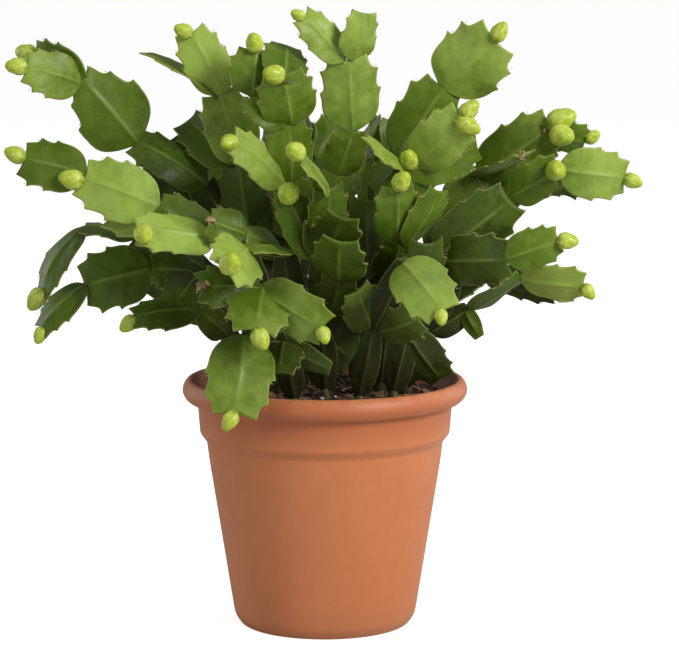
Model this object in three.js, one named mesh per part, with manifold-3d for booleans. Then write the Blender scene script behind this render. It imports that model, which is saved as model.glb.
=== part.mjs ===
// Potted Christmas cactus: rooted stems of flat, toothed segments with buds, in a six-inch plastic pot.
// Millimetres, +Z up, the front along -Y. The origin is the centre of the pot's flat base.
import * as THREE from "three";
import { mergeVertices } from "three/addons/utils/BufferGeometryUtils.js";
import Module from "manifold-3d";

const wasm = await Module();
wasm.setup();

// Pot
const SIDES = 32;
const RIM_RADIUS = 75.9;
const RIM_TOP = 131.5;
const WALL = 2;
const FLOOR = 2.6;
const BASE_RADIUS = 45;
const DISC_COUNT = 5;
const DISC_RADIUS = 4.5;
const DISC_CIRCLE = 28;
const DISC_DEPTH = 1.4;
const DISC_SIDES = 8;

// Potting mix
const GAP = 0.35;
const MIX_TOP = 121.5;
const MIX_MOUND = 1.6;
const MIX_LUMPS = 0.7;
const LUMP_PITCH = 9;
const MIX_RINGS = [46, 22, 0];

// Rooted ends of the stems
const PEG_RADIUS = 3.1;
const PEG_SIDES = 6;
const PEG_DEPTH = 14;
const PEG_HEIGHT = 6.5;

// Segments
const PLAIN_WIDTH = 20;
const NECK = 2.1;
const RIB_THICKNESS = 2.4;
const MARGIN_THICKNESS = 0.9;
const CUP = 0.1;
const WAVE = 0.07;
const WAVES = 1.2;
const WAVE_STEP = 0.37;
const SUNK = 3;
const SOCKET_SHARE = 0.9;
const SOCKET_CORNERS = 4;
const GROWS_ON = 0.35;
const FOOT = 0.93;
const TRIM = 0.1;

// Half outlines of a segment from its neck to its end: how far along it, and how far out as a share of half
// the width. A toothed segment has two forward teeth a side and a horn at each corner of its cut-off end.
const TOOTHED = [
  [0.18, 0.8],
  [0.58, 1.08],
  [0.62, 0.9],
  [0.84, 1.0],
  [0.85, 0.76],
  [1.08, 0.62],
];
const PLAIN = [
  [0.4, 0.95],
  [1.01, 0.5],
];
const END = 0.97;
const RIB = 0.5;
const TAPER_START = 0.5;

// Buds: rings from the base to the point, as how far along and how far out as a share of the radius
const BUD_SIDES = 6;
const BUD_FATNESS = 0.33;
const BUD_SUNK = 2;
const BUD_FOOT = [0, 0.5];
const BUD_RINGS = [
  [0.26, 0.98],
  [0.7, 0.86],
];

// The front stems' places are given as across, up and depth, as an eye at this place in front sees them:
// across and up are where the line of sight crosses the upright plane through the pot's axis, and the point
// lies where that line reaches the depth.
const EYE = new THREE.Vector3(0, -1500, 374.5);

// Each stem has the place of its rooted end on the mix and its segments in order of growth. A segment has its
// key, the key of the one that it grows from, the across, up and depth of its tip, its width, its turn about
// its own length in degrees (0 faces the front), its arch and, where its end is narrower, its taper. A bud
// has the key of its segment and the across, up and depth of its point.
const FRONT_STEMS = [
  {
    name: "stem_left_high",
    root: [-26, 8],
    segments: [
      ["a0", "root", -31, 158, 8, 16, 20, 0.02],
      ["a1", "a0", -40, 198, 7, 19, -20, 0.03],
      ["a2", "a1", -64, 233, 8, 26, 20, 0.04],
      ["a3", "a2", -99, 257, 8, 25, 30, 0.08],
      ["a4", "a3", -127, 290, -2, 40, 5, 0.05, 0.4],
      ["a5", "a4", -156, 296, -16, 25, 15, 0.08],
      ["a6", "a4", -151, 302, 14, 26, -30, 0.08],
      ["a7", "a2", -96, 242, 26, 28, 10, 0.06],
      ["a8", "a0", -39, 200, 20, 26, 15, 0.05],
      ["i1", "a1", -45, 246, 2, 27, -10, 0.04],
      ["i2", "i1", -55, 282, 0, 29, 8, 0.05],
      ["i3", "i2", -70, 314, -8, 25, 5, 0.05],
      ["i4", "i2", -92, 303, 8, 22, 80, 0.08],
      ["i5", "i1", -72, 268, 20, 26, 20, 0.05],
    ],
    buds: [
      ["a5", -168, 297, -20],
      ["a6", -162, 305, 20],
      ["i3", -79, 317, -14],
    ],
  },
  {
    name: "stem_left_middle",
    root: [-14, -16],
    segments: [
      ["b0", "root", -17, 158, -26, 16, 10, 0.03],
      ["b1", "b0", -21, 200, -40, 19, -10, 0.03],
      ["b2", "b1", -60, 206, -50, 22, 76, 0.05],
      ["b3", "b2", -88, 223, -44, 24, 20, 0.05],
      ["b4", "b3", -127, 238, -40, 31, 8, 0.06],
      ["b5", "b4", -158, 248, -34, 27, 12, 0.05],
      ["b6", "b2", -99, 210, -66, 27, 42, 0.06],
      ["b7", "b1", -42, 208, -56, 17, 30, 0.05],
      ["b8", "b7", -61, 215, -60, 21, 15, 0.05],
      ["b9", "b2", -113, 218, -34, 28, 48, 0.05],
      ["p0", "b1", -42, 200, -76, 20, 78, 0.04],
      ["p1", "p0", -52, 189, -108, 31, 0, 0.1],
    ],
    buds: [
      ["b4", -141, 239, -45],
      ["b5", -169, 253, -34],
      ["b6", -94, 204, -77],
      ["p1", -48, 197, -119],
    ],
  },
  {
    name: "stem_left_low",
    root: [-40, -14],
    segments: [
      ["c0", "root", -50, 156, -18, 15, 15, 0.03],
      ["c1", "c0", -66, 190, -20, 19, 10, 0.04],
      ["c2", "c1", -100, 207, -14, 27, 30, 0.05],
      ["c3", "c2", -127, 212, -10, 24, 72, 0.04],
      ["c4", "c3", -149, 178, -14, 23, 58, 0.1],
      ["c5", "c1", -92, 190, -26, 22, 10, 0.05],
      ["c6", "c5", -127, 181, -30, 33, 5, 0.06],
      ["c7", "c6", -150, 158, -32, 21, 46, 0.08],
      ["c8", "c1", -79, 171, -40, 26, 20, 0.06],
      ["h1", "c0", -67, 168, -40, 17, 10, 0.04],
      ["h2", "h1", -101, 164, -48, 22, 40, 0.06],
      ["c9", "c0", -71, 197, 20, 26, 45, 0.06],
    ],
    buds: [
      ["c4", -157, 167, -14],
      ["c7", -153, 149, -36],
      ["h2", -109, 156, -50],
    ],
  },
  {
    name: "stem_top",
    root: [-3, 10],
    segments: [
      ["k0", "root", -4, 162, 8, 16, 10, 0.02],
      ["k1", "k0", -6, 204, 2, 19, -15, 0.03],
      ["k2", "k1", -20, 236, -14, 25, 15, 0.04],
      ["k3", "k2", -19, 266, -22, 27, 20, 0.04],
      ["k4", "k3", -22, 292, -34, 31, 5, 0.06],
      ["k5", "k4", -20, 307, -8, 25, 15, 0.05],
      ["k6", "k3", -38, 281, -24, 20, 20, 0.05],
      ["k7", "k6", -36, 305, -20, 27, 10, 0.05],
      ["k8", "k2", -48, 258, -36, 22, 30, 0.06],
      ["k9", "k1", -12, 240, 34, 28, 75, 0.06],
      ["k10", "k9", -16, 272, 50, 27, 85, 0.05],
      ["k11", "k0", 14, 141, -18, 28, 10, 0.1],
      ["t2", "k1", 7, 240, 0, 25, 10, 0.04],
      ["t3", "t2", 15, 263, -8, 22, 10, 0.04],
      ["t4", "t3", 12, 300, -14, 31, 5, 0.05],
      ["t5", "t4", -11, 322, -20, 20, 25, 0.06],
      ["t6", "t4", 21, 324, -16, 24, 40, 0.06],
    ],
    buds: [
      ["k4", -32.5, 293.5, -43],
      ["k7", -37.5, 314, -28],
      ["k8", -54.2, 255.3, -46],
      ["t5", -18, 325, -24],
    ],
  },
  {
    name: "stem_centre",
    root: [0, -14],
    segments: [
      ["m0", "root", -2, 160, -28, 16, 5, 0.03],
      ["m1", "m0", -2, 196, -48, 19, 10, 0.05],
      ["m2", "m1", 2, 232, -66, 25, 30, 0.05],
      ["m3", "m2", -13, 250, -84, 24, 78, 0.05],
      ["m4", "m1", -20, 228, -64, 21, 20, 0.04],
      ["m5", "m0", 8, 184, -58, 25, 10, 0.05],
      ["m6", "m5", 8, 204, -88, 28, -10, 0.06],
      ["m7", "m1", 9, 217, -76, 26, 0, 0.06],
      ["m8", "m0", -10, 178, -62, 25, 75, 0.06],
    ],
    buds: [
      ["m3", -19, 255, -94],
      ["m4", -18.5, 233.5, -77],
    ],
  },
  {
    name: "stem_centre_right",
    root: [18, -4],
    segments: [
      ["v0", "root", 24, 163, -12, 16, 10, 0.03],
      ["v1", "v0", 31, 186, -24, 19, 0, 0.03],
      ["v2", "v1", 40, 203, -46, 20, 20, 0.05],
      ["v3", "v2", 38, 233, -62, 24, 15, 0.05],
      ["v4", "v2", 60, 231, -54, 22, 50, 0.05],
      ["v5", "v0", 22, 226, -4, 26, 10, 0.04],
      ["d1", "v0", 37, 205, -22, 19, -10, 0.03],
      ["d2", "d1", 44, 245, -36, 25, 25, 0.04],
      ["d3", "d2", 72, 270, -50, 27, 8, 0.06],
      ["d4", "d2", 24, 255, -58, 22, 75, 0.05],
      ["d5", "d2", 80, 255, -22, 26, 20, 0.05],
    ],
    buds: [
      ["v3", 43.5, 241, -70],
      ["d3", 81, 279, -50],
      ["d3", 82.5, 261.5, -53],
      ["d2", 44, 252, -47],
    ],
  },
  {
    name: "stem_front_left",
    root: [-16, -42],
    segments: [
      ["q0", "root", -22, 152, -56, 15, 0, 0.04],
      ["q1", "q0", -34, 180, -68, 19, 10, 0.06],
      ["q2", "q1", -37, 157, -96, 33, 0, 0.12],
      ["q3", "q1", -1, 158, -90, 26, 8, 0.12],
      ["q4", "q0", -24, 134, -78, 22, 10, 0.1],
      ["q5", "q0", 3, 136, -72, 14, 20, 0.05],
      ["p2", "q1", -66, 180, -84, 24, 20, 0.06],
      ["r0", "q0", -44, 152, -74, 19.5, 0, 0.05],
      ["r1", "r0", -48, 112, -92, 34, 0, 0.14],
    ],
    buds: [
      ["q2", -31, 145.5, -100],
      ["q3", 1, 149, -96],
      ["r1", -54, 102, -96],
    ],
  },
  {
    name: "stem_front_right",
    root: [18, -34],
    segments: [
      ["y0", "root", 26, 158, -50, 15, 0, 0.04],
      ["y1", "y0", 43, 194, -72, 19, 15, 0.05],
      ["y2", "y1", 62, 167, -98, 29, -10, 0.12],
      ["y3", "y0", 50, 163, -66, 22, 20, 0.05],
      ["y4", "y0", 17, 178, -69, 23, 20, 0.05],
    ],
    buds: [
      ["y2", 62, 159, -104],
    ],
  },
  {
    name: "stem_right_high",
    root: [30, 7],
    segments: [
      ["u0", "root", 34, 162, 9, 16, 0, 0.03],
      ["u1", "u0", 34, 206, 10, 19, 10, 0.03],
      ["u2", "u1", 38, 250, 8, 26, -10, 0.04],
      ["u3", "u2", 62, 286, 4, 32, 10, 0.05],
      ["u4", "u3", 89, 310, -6, 38, 5, 0.05],
      ["u5", "u1", 47, 238, 34, 27, 80, 0.06],
      ["f1", "u0", 56, 198, 8, 19, 10, 0.04],
      ["f2", "f1", 80, 240, 4, 25, 20, 0.05],
      ["f3", "f2", 119, 265, -10, 31, 10, 0.05],
      ["f4", "f3", 137, 257, -2, 20, 30, 0.06],
      ["f5", "f2", 104, 250, -30, 22, 80, 0.05],
    ],
    buds: [
      ["u4", 95, 320, -8],
      ["f3", 133, 272, -14],
      ["f3", 131, 258, -20],
      ["f4", 145, 262, -4],
    ],
  },
  {
    name: "stem_right_middle",
    root: [42, 0],
    segments: [
      ["j0", "root", 53, 157, -2, 16, 0, 0.03],
      ["j1", "j0", 70, 196, -12, 19, 10, 0.04],
      ["j2", "j1", 97, 229, -16, 25, 20, 0.05],
      ["j3", "j2", 123, 243, -22, 24, 25, 0.05],
      ["j4", "j3", 158, 238, -18, 27, 10, 0.06],
      ["j5", "j1", 94, 213, 18, 27, 75, 0.06],
      ["j6", "j0", 62, 182, 23, 26, 70, 0.06],
      ["n1", "j0", 76, 168, 0, 17, 10, 0.04],
      ["n2", "n1", 104, 186, -8, 24, 72, 0.05],
      ["n3", "n2", 137, 181, -14, 24, 40, 0.07],
      ["n4", "n1", 82, 153, -6, 11, 10, 0.06],
    ],
    buds: [
      ["j3", 122, 241, -36],
      ["j4", 168, 234, -18],
      ["n3", 143, 173, -16],
    ],
  },
  {
    name: "stem_right_front",
    root: [36, -20],
    segments: [
      ["g0", "root", 45, 158, -28, 16, 0, 0.04],
      ["g1", "g0", 60, 196, -42, 19, 10, 0.05],
      ["g2", "g1", 97, 226, -46, 31, 10, 0.06],
      ["g3", "g1", 96, 195, -58, 29, 15, 0.06],
      ["g4", "g3", 123, 205, -58, 22, 15, 0.05],
      ["w1", "g0", 62, 131, -16, 22, 15, 0.1],
      ["g5", "g0", 54, 203, -60, 25, 25, 0.06],
    ],
    buds: [
      ["g4", 135, 204, -60],
    ],
  },
];

// The rear stems follow a rule: each has a trunk that rises from its rooted end, and boughs that arch from
// the trunk's end out to a reach and a height, with forks on the way. Lengths are out from the pot's axis
// and up from its base, angles are round it from the right.
const REAR_SEED = 41;
const REAR_STEMS = [
  {
    name: "stem_rear",
    angles: [32, 62, 90, 118, 146],
    trunk: [[38], [46, 163], [52, 202]],
    boughs: [
      { reach: 82, crest: 260, fall: 0, swing: 8, steps: 2, forks: 1, budding: false },
      { reach: 146, crest: 238, fall: 8, swing: -7, steps: 3, forks: 2, budding: true },
    ],
  },
  {
    name: "stem_rear_low",
    angles: [34, 71, 109, 146],
    trunk: [[52], [66, 160]],
    boughs: [
      { reach: 138, crest: 192, fall: 26, swing: 0, steps: 2, forks: 2, budding: true },
    ],
  },
];
const REAR_FORK_ANGLE = 13;
const REAR_FORK_SETBACK = 0.05;
const REAR_FORK_LEAN = 0.25;
const REAR_SWAY = 3;
const REAR_TRUNK_WIDTH = 17;
const REAR_WIDTH = 27.5;
const REAR_WIDTH_SPREAD = 4;
const REAR_TURN = 28;
const REAR_ARCH = 0.06;
const REAR_FACING_RISE = 0.9;
const REAR_BUD = 12;
const REAR_BUD_CHANCE = 0.45;

const DEGREE = Math.PI / 180;

// A repeatable source of numbers from 0 to 1.
function seededRandom(seed) {
  let state = seed;
  return () => {
    state = (state + 0x6d2b79f5) | 0;
    let value = Math.imul(state ^ (state >>> 15), 1 | state);
    value = (value + Math.imul(value ^ (value >>> 7), 61 | value)) ^ value;
    return ((value ^ (value >>> 14)) >>> 0) / 4294967296;
  };
}

// The closed solid of a geometry, without the flat triangles at a lathe's poles.
function solidOf(geometry) {
  const bare = geometry.clone();
  bare.deleteAttribute("normal");
  bare.deleteAttribute("uv");
  const merged = mergeVertices(bare, 1e-4);
  const corners = merged.index.array;
  const kept = [];
  for (let i = 0; i < corners.length; i += 3) {
    const [a, b, c] = [corners[i], corners[i + 1], corners[i + 2]];
    if (a !== b && b !== c && c !== a) {
      kept.push(a, b, c);
    }
  }
  return new wasm.Manifold(new wasm.Mesh({
    numProp: 3,
    vertProperties: new Float32Array(merged.attributes.position.array),
    triVerts: new Uint32Array(kept),
  }));
}

function geometryOf(solid) {
  const mesh = solid.getMesh();
  const geometry = new THREE.BufferGeometry();
  geometry.setAttribute("position", new THREE.BufferAttribute(mesh.vertProperties, 3));
  geometry.setIndex(new THREE.BufferAttribute(mesh.triVerts, 1));
  geometry.computeVertexNormals();
  return geometry;
}

function solidOfPoints(points, triangles) {
  const geometry = new THREE.BufferGeometry().setFromPoints(points);
  geometry.setIndex(triangles);
  return solidOf(geometry);
}

function turnedSolid(profile) {
  const points = profile.map(([radius, height]) => new THREE.Vector2(radius, height));
  return solidOf(new THREE.LatheGeometry(points, SIDES).rotateX(Math.PI / 2));
}

function post(radius, sides, x, y, bottom, top) {
  const geometry = new THREE.CylinderGeometry(radius, radius, top - bottom, sides).rotateX(Math.PI / 2);
  return solidOf(geometry.translate(x, y, (bottom + top) / 2));
}

// The outside of the pot from its base to the inner edge of its rim.
const POT_OUTSIDE = [
  [0, 0],
  [BASE_RADIUS, 0],
  [48.3, 4.6],
  [61.4, 86.8],
  [62.9, 98.5],
  [66.4, 103],
  [67.6, 118.6],
  [73.4, 120.6],
  [RIM_RADIUS, 125],
  [74.9, 129],
  [72.8, RIM_TOP],
  [70.7, RIM_TOP],
];
// The inside of the pot from its rim down to its floor, which the mix follows.
const POT_INSIDE = [
  [69.8, 126],
  [67.6 - WALL, 118.4],
  [66.4 - WALL, 103.6],
  [62.9 - WALL, 99.2],
  [47.4 - WALL, FLOOR],
];

function potSolid() {
  const body = turnedSolid([...POT_OUTSIDE, ...POT_INSIDE, [0, FLOOR]]);
  const discs = [];
  for (let i = 0; i < DISC_COUNT; i++) {
    const angle = (i / DISC_COUNT) * 2 * Math.PI;
    const [x, y] = [DISC_CIRCLE * Math.cos(angle), DISC_CIRCLE * Math.sin(angle)];
    discs.push(post(DISC_RADIUS, DISC_SIDES, x, y, -DISC_DEPTH, DISC_DEPTH));
  }
  return body.subtract(wasm.Manifold.union(discs));
}

// Height of the mix over its level at the wall: a low mound with lumps.
function mixRelief(x, y) {
  const edge = 1 - Math.hypot(x, y) / RIM_RADIUS;
  const lumps = Math.sin(x / LUMP_PITCH + 1.3) * Math.cos(y / LUMP_PITCH - 0.6);
  return MIX_MOUND * edge + MIX_LUMPS * lumps;
}

function mixSolid(roots) {
  const [[rimRadius, rimStart], [neckRadius, neckTop]] = POT_INSIDE;
  const brim = THREE.MathUtils.mapLinear(MIX_TOP, neckTop, rimStart, neckRadius, rimRadius);
  const profile = [
    [0, FLOOR + GAP],
    ...POT_INSIDE.slice(1).reverse().map(([radius, height]) => [radius - GAP, Math.max(height, FLOOR + GAP)]),
    [brim - GAP, MIX_TOP],
    ...MIX_RINGS.map((radius) => [radius, MIX_TOP]),
  ];
  const points = profile.map(([radius, height]) => new THREE.Vector2(radius, height));
  const geometry = new THREE.LatheGeometry(points, SIDES).rotateX(Math.PI / 2);
  const place = geometry.attributes.position;
  for (let i = 0; i < place.count; i++) {
    if (place.getZ(i) > MIX_TOP - GAP) {
      place.setZ(i, MIX_TOP + mixRelief(place.getX(i), place.getY(i)));
    }
  }
  const holes = roots.map(([x, y]) =>
    post(PEG_RADIUS + GAP, PEG_SIDES, x, y, MIX_TOP - PEG_DEPTH - GAP, MIX_TOP + PEG_HEIGHT));
  return solidOf(geometry).subtract(wasm.Manifold.union(holes));
}

// How a segment or bud lies: from its start along to its tip, across to its side, and out of its face.
function frameOf(start, tip, facing, turn) {
  const along = tip.clone().sub(start).normalize();
  const face = facing.clone().projectOnPlane(along).normalize().applyAxisAngle(along, turn * DEGREE);
  return { start, along, face, side: along.clone().cross(face), length: tip.distanceTo(start) };
}

function placed({ start, along, face, side }, far, out, up) {
  return start.clone().addScaledVector(along, far).addScaledVector(side, out).addScaledVector(face, up);
}

// The start of a piece that grows on from a socket, or that is sunk where it has none.
function startOf({ base, tip, socket, foot = base }, sunk) {
  if (socket) {
    return socket.reduce((sum, point) => sum.add(point), new THREE.Vector3()).divideScalar(socket.length);
  }
  return foot.clone().addScaledVector(tip.clone().sub(foot).normalize(), -sunk);
}

function lieOf(segment) {
  return frameOf(startOf(segment, SUNK), segment.tip, segment.facing, segment.turn);
}

// The number of places by which a socket's corners are turned against a piece's own.
function socketShift(socket, corners) {
  const misfit = (shift) => corners.reduce(
    (sum, corner, i) => sum + corner.distanceToSquared(socket[(i + shift) % socket.length]), 0);
  return [0, 1, 2, 3].reduce((best, shift) => (misfit(shift) < misfit(best) ? shift : best));
}

// One flat segment. Both faces carry the same triangles, a thickness apart that is least at the margin. Its
// cut-off end has a socket of four corners for each piece that grows on from it, from its right to its left.
function makeSegment(segment, growing) {
  const { width, arch, wave, taper = 0, socket } = segment;
  const frame = lieOf(segment);
  const half = width / 2;
  const shape = width < PLAIN_WIDTH ? PLAIN : TOOTHED;
  const narrowing = (t) => 1 - (taper * Math.max(0, t - TAPER_START)) / (1 - TAPER_START);
  const narrowed = shape.map(([t, out]) => [t, out * narrowing(t)]);
  const edge = [[0, NECK / half], ...narrowed];
  const pitch = Math.min(2 * NECK, (SOCKET_SHARE * half) / Math.max(1, growing));
  const seams = Array.from({ length: growing + 1 }, (_, i) => [END, ((growing / 2 - i) * pitch) / half]);
  const outline = [...edge, ...seams, ...edge.map(([t, out]) => [t, -out]).reverse()];
  const corners = [...outline, [RIB, 0]];
  const points = [1, -1].flatMap((way) => corners.map(([t, out]) => {
    const thickness = THREE.MathUtils.lerp(RIB_THICKNESS, MARGIN_THICKNESS, Math.min(1, Math.abs(out)));
    const bend = arch * frame.length * 4 * t * (1 - t) - CUP * half * out * out;
    const ripple = WAVE * half * out * Math.sin(2 * Math.PI * (WAVES * t + wave));
    return placed(frame, t * frame.length, out * half, bend + ripple + (way * thickness) / 2);
  }));
  const [middle, under] = [outline.length, corners.length];
  const neck = [0, middle - 1, middle - 1 + under, under];
  const shift = socket ? socketShift(socket, neck.map((i) => points[i])) : 0;
  if (socket) {
    neck.forEach((index, i) => points[index].copy(socket[(i + shift) % 4]));
  }
  const [a, b, c, d] = [0, 1, 2, 3].map((i) => neck[(i + 4 - shift) % 4]);
  const triangles = [a, b, c, a, c, d];
  for (let i = 0; i < outline.length; i++) {
    const next = (i + 1) % outline.length;
    triangles.push(middle, i, next, middle + under, next + under, i + under);
    if (next > 0) {
      triangles.push(i, i + under, next + under, i, next + under, next);
    }
  }
  const sockets = Array.from({ length: growing }, (_, i) => {
    const right = edge.length + i;
    return [right, right + 1, right + 1 + under, right + under].map((index) => points[index]);
  });
  return { solid: solidOfPoints(points, triangles), sockets };
}

// Triangles between two rings that run the same way round, by the shorter way across at each step.
function bridge(points, lower, upper) {
  const triangles = [];
  let [i, j] = [0, 0];
  while (i < lower.length || j < upper.length) {
    const [a, b] = [lower[i % lower.length], upper[j % upper.length]];
    const [onA, onB] = [lower[(i + 1) % lower.length], upper[(j + 1) % upper.length]];
    const lowerFirst = points[onA].distanceTo(points[b]) < points[a].distanceTo(points[onB]);
    if (j === upper.length || (i < lower.length && lowerFirst)) {
      triangles.push(a, b, onA);
      i += 1;
    } else {
      triangles.push(a, b, onB);
      j += 1;
    }
  }
  return triangles;
}

// One pointed bud: rings round its axis from the end of its segment to its point.
function makeBud(bud) {
  const { base, tip, socket } = bud;
  const start = startOf(bud, BUD_SUNK);
  const along = tip.clone().sub(start).normalize();
  const first = socket ? socket[0].clone().sub(start) : new THREE.Vector3(0, 0, 1).cross(along);
  const frame = frameOf(start, tip, first.projectOnPlane(along), 0);
  const radius = BUD_FATNESS * tip.distanceTo(base);
  const ring = ([t, out], sides) => Array.from({ length: sides }, (_, i) => {
    const angle = (i / sides) * 2 * Math.PI;
    return placed(frame, t * frame.length, -radius * out * Math.sin(angle), radius * out * Math.cos(angle));
  });
  const foot = socket ?? ring(BUD_FOOT, SOCKET_CORNERS);
  const rings = [foot, ...BUD_RINGS.map((place) => ring(place, BUD_SIDES))];
  const points = [...rings.flat(), tip];
  const triangles = [0, 1, 2, 0, 2, 3];
  let at = 0;
  const numbers = rings.map(({ length }) => {
    at += length;
    return Array.from({ length }, (_, i) => at - length + i);
  });
  for (let i = 1; i < rings.length; i++) {
    triangles.push(...bridge(points, numbers[i - 1], numbers[i]));
  }
  numbers.at(-1).forEach((a, i, last) => triangles.push(a, points.length - 1, last[(i + 1) % last.length]));
  return solidOfPoints(points, triangles);
}

// The point at a depth on the front eye's line of sight.
function sighted(across, up, depth) {
  const point = new THREE.Vector3(across, 0, up).sub(EYE);
  return point.multiplyScalar(1 - depth / EYE.y).add(EYE);
}

function rootedEnd([x, y]) {
  return new THREE.Vector3(x, y, MIX_TOP + PEG_HEIGHT);
}

// A stem's segments and buds as points, from the way that they are given.
function frontStem({ name, root, segments, buds }) {
  const tips = { root: rootedEnd(root) };
  for (const [key, , across, up, depth] of segments) {
    tips[key] = sighted(across, up, depth);
  }
  return {
    name,
    root,
    segments: segments.map(([key, from, , , , width, turn, arch, taper], i) => {
      const facing = EYE.clone().sub(tips[from]).normalize();
      const wave = i * WAVE_STEP;
      return { key, base: tips[from], tip: tips[key], facing, width, turn, arch, taper, wave };
    }),
    buds: buds.map(([from, across, up, depth]) => ({ base: tips[from], tip: sighted(across, up, depth) })),
  };
}

// A point round the pot's axis: how far out, the angle round it, and how far up.
function around(radius, angle, up) {
  return new THREE.Vector3(radius * Math.cos(angle * DEGREE), radius * Math.sin(angle * DEGREE), up);
}

// One rear stem, from its rooted end up its trunk and out along each bough.
function rearStem(name, angle, trunk, boughs, sway) {
  const [[rootRadius], ...joints] = trunk;
  const foot = around(rootRadius, angle, 0);
  const facing = around(1, angle, REAR_FACING_RISE).normalize();
  const segments = [];
  const buds = [];
  const grow = (base, tip, width) => {
    segments.push({ base, tip, facing, width, turn: sway(REAR_TURN), arch: REAR_ARCH, wave: sway(1) });
    return tip;
  };
  const bud = (base, tip, budding) => {
    if ((sway(1) + 1) / 2 < REAR_BUD_CHANCE && budding) {
      const onward = tip.clone().sub(base).setLength(REAR_BUD);
      buds.push({ base: tip, tip: tip.clone().add(onward) });
    }
  };
  let fork = rootedEnd([foot.x, foot.y]);
  for (const [radius, up] of joints) {
    fork = grow(fork, around(radius, angle, up), REAR_TRUNK_WIDTH + sway(1));
  }
  const [radius, up] = joints.at(-1);
  boughs.forEach(({ reach, crest, fall, swing, steps, forks, budding }, number) => {
    const place = (share, turned) => around(
      THREE.MathUtils.lerp(radius, reach, share),
      angle + swing * share + turned,
      up + (crest - up) * Math.sin((share * Math.PI) / 2) - fall * share ** 4,
    );
    let base = fork;
    for (let step = 1; step <= steps; step++) {
      const forked = step > steps - forks;
      const side = (number + step) % 2 ? REAR_FORK_ANGLE : -REAR_FORK_ANGLE;
      if (forked) {
        const width = REAR_WIDTH + sway(REAR_WIDTH_SPREAD);
        bud(base, grow(base, place(step / steps - REAR_FORK_SETBACK, side), width), budding);
      }
      const turned = sway(REAR_SWAY) - (forked ? side * REAR_FORK_LEAN : 0);
      const tip = grow(base, place(step / steps, turned), REAR_WIDTH + sway(REAR_WIDTH_SPREAD));
      if (step === steps) {
        bud(base, tip, budding);
      }
      base = tip;
    }
  });
  return { name, root: [foot.x, foot.y], segments, buds };
}

function rearStems() {
  const random = seededRandom(REAR_SEED);
  const sway = (most) => (2 * random() - 1) * most;
  return REAR_STEMS.flatMap(({ name, angles, trunk, boughs }) =>
    angles.map((angle, i) => rearStem(`${name}_${i + 1}`, angle, trunk, boughs, sway)));
}

// Whether a piece grows on from the end of its segment, and not back beside it.
function growsOn(piece, frame) {
  return piece.tip.clone().sub(piece.base).normalize().dot(frame.along) > GROWS_ON;
}

// The solids of a stem's pieces, each on the socket that its segment has for it.
function stemPieces({ segments, buds }) {
  const sideways = (piece, { side }) => piece.tip.clone().sub(piece.base).normalize().dot(side);
  const solids = [];
  for (const segment of segments) {
    const onward = [...segments, ...buds].filter((piece) => piece.base === segment.tip);
    const frame = lieOf(segment);
    const straight = onward.filter((piece) => growsOn(piece, frame));
    straight.sort((one, other) => sideways(other, frame) - sideways(one, frame));
    const made = makeSegment(segment, straight.length);
    for (const piece of onward) {
      piece.foot = placed(frame, FOOT * frame.length, 0, 0);
      piece.socket = made.sockets[straight.indexOf(piece)];
    }
    solids.push(made.solid);
  }
  return [...solids, ...buds.map(makeBud)];
}

function stemSolid(stem) {
  const [x, y] = stem.root;
  const peg = post(PEG_RADIUS, PEG_SIDES, x, y, MIX_TOP - PEG_DEPTH, MIX_TOP + PEG_HEIGHT);
  return wasm.Manifold.union([peg, ...stemPieces(stem)]).asOriginal().simplify(TRIM);
}

const MATERIALS = {
  pot: new THREE.MeshStandardMaterial({ color: 0xc1764c, roughness: 0.55, metalness: 0 }),
  mix: new THREE.MeshStandardMaterial({ color: 0x2b211a, roughness: 0.95, metalness: 0 }),
  plant: new THREE.MeshStandardMaterial({ color: 0x5f802a, roughness: 0.45, metalness: 0 }),
};

function addNode(group, name, solid, material) {
  const mesh = new THREE.Mesh(geometryOf(solid), material);
  mesh.name = name;
  group.add(mesh);
}

const stems = [...FRONT_STEMS.map(frontStem), ...rearStems()];
const plant = new THREE.Group();
addNode(plant, "pot", potSolid(), MATERIALS.pot);
addNode(plant, "potting_mix", mixSolid(stems.map(({ root }) => root)), MATERIALS.mix);
for (const stem of stems) {
  addNode(plant, stem.name, stemSolid(stem), MATERIALS.plant);
}

export default plant;
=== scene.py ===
"""Looks of the potted Christmas cactus: its pot and mix, and its leafy stems with their buds."""

import logging
import math
import random
from collections.abc import Callable, Sequence
from dataclasses import dataclass, field
from enum import Enum
from itertools import pairwise

import bmesh
import bpy
import numpy as np
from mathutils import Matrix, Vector, noise


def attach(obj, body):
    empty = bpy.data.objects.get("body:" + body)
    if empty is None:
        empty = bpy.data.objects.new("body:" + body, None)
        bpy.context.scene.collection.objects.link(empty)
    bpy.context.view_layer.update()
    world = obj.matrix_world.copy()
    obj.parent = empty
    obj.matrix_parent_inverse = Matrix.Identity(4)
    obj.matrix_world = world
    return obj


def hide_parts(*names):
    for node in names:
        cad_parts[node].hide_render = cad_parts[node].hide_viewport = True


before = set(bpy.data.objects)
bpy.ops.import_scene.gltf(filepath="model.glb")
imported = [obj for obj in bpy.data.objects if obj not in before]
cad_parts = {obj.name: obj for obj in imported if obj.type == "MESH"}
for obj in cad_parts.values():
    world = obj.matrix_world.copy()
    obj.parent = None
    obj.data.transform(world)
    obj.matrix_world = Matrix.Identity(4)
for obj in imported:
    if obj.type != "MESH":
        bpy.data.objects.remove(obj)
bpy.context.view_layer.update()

log = logging.getLogger("christmas_cactus")

Socket = bpy.types.NodeSocket
Material = bpy.types.Material
Colour = tuple[float, float, float, float]
Piece = bpy.types.Object
Mesh = bpy.types.Mesh
Tree = bpy.types.NodeTree
Solid = bmesh.types.BMesh

# Sizes below are in millimetres, as in the part's source, and turn into metres as each mesh is made.
MM = 0.001

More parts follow.
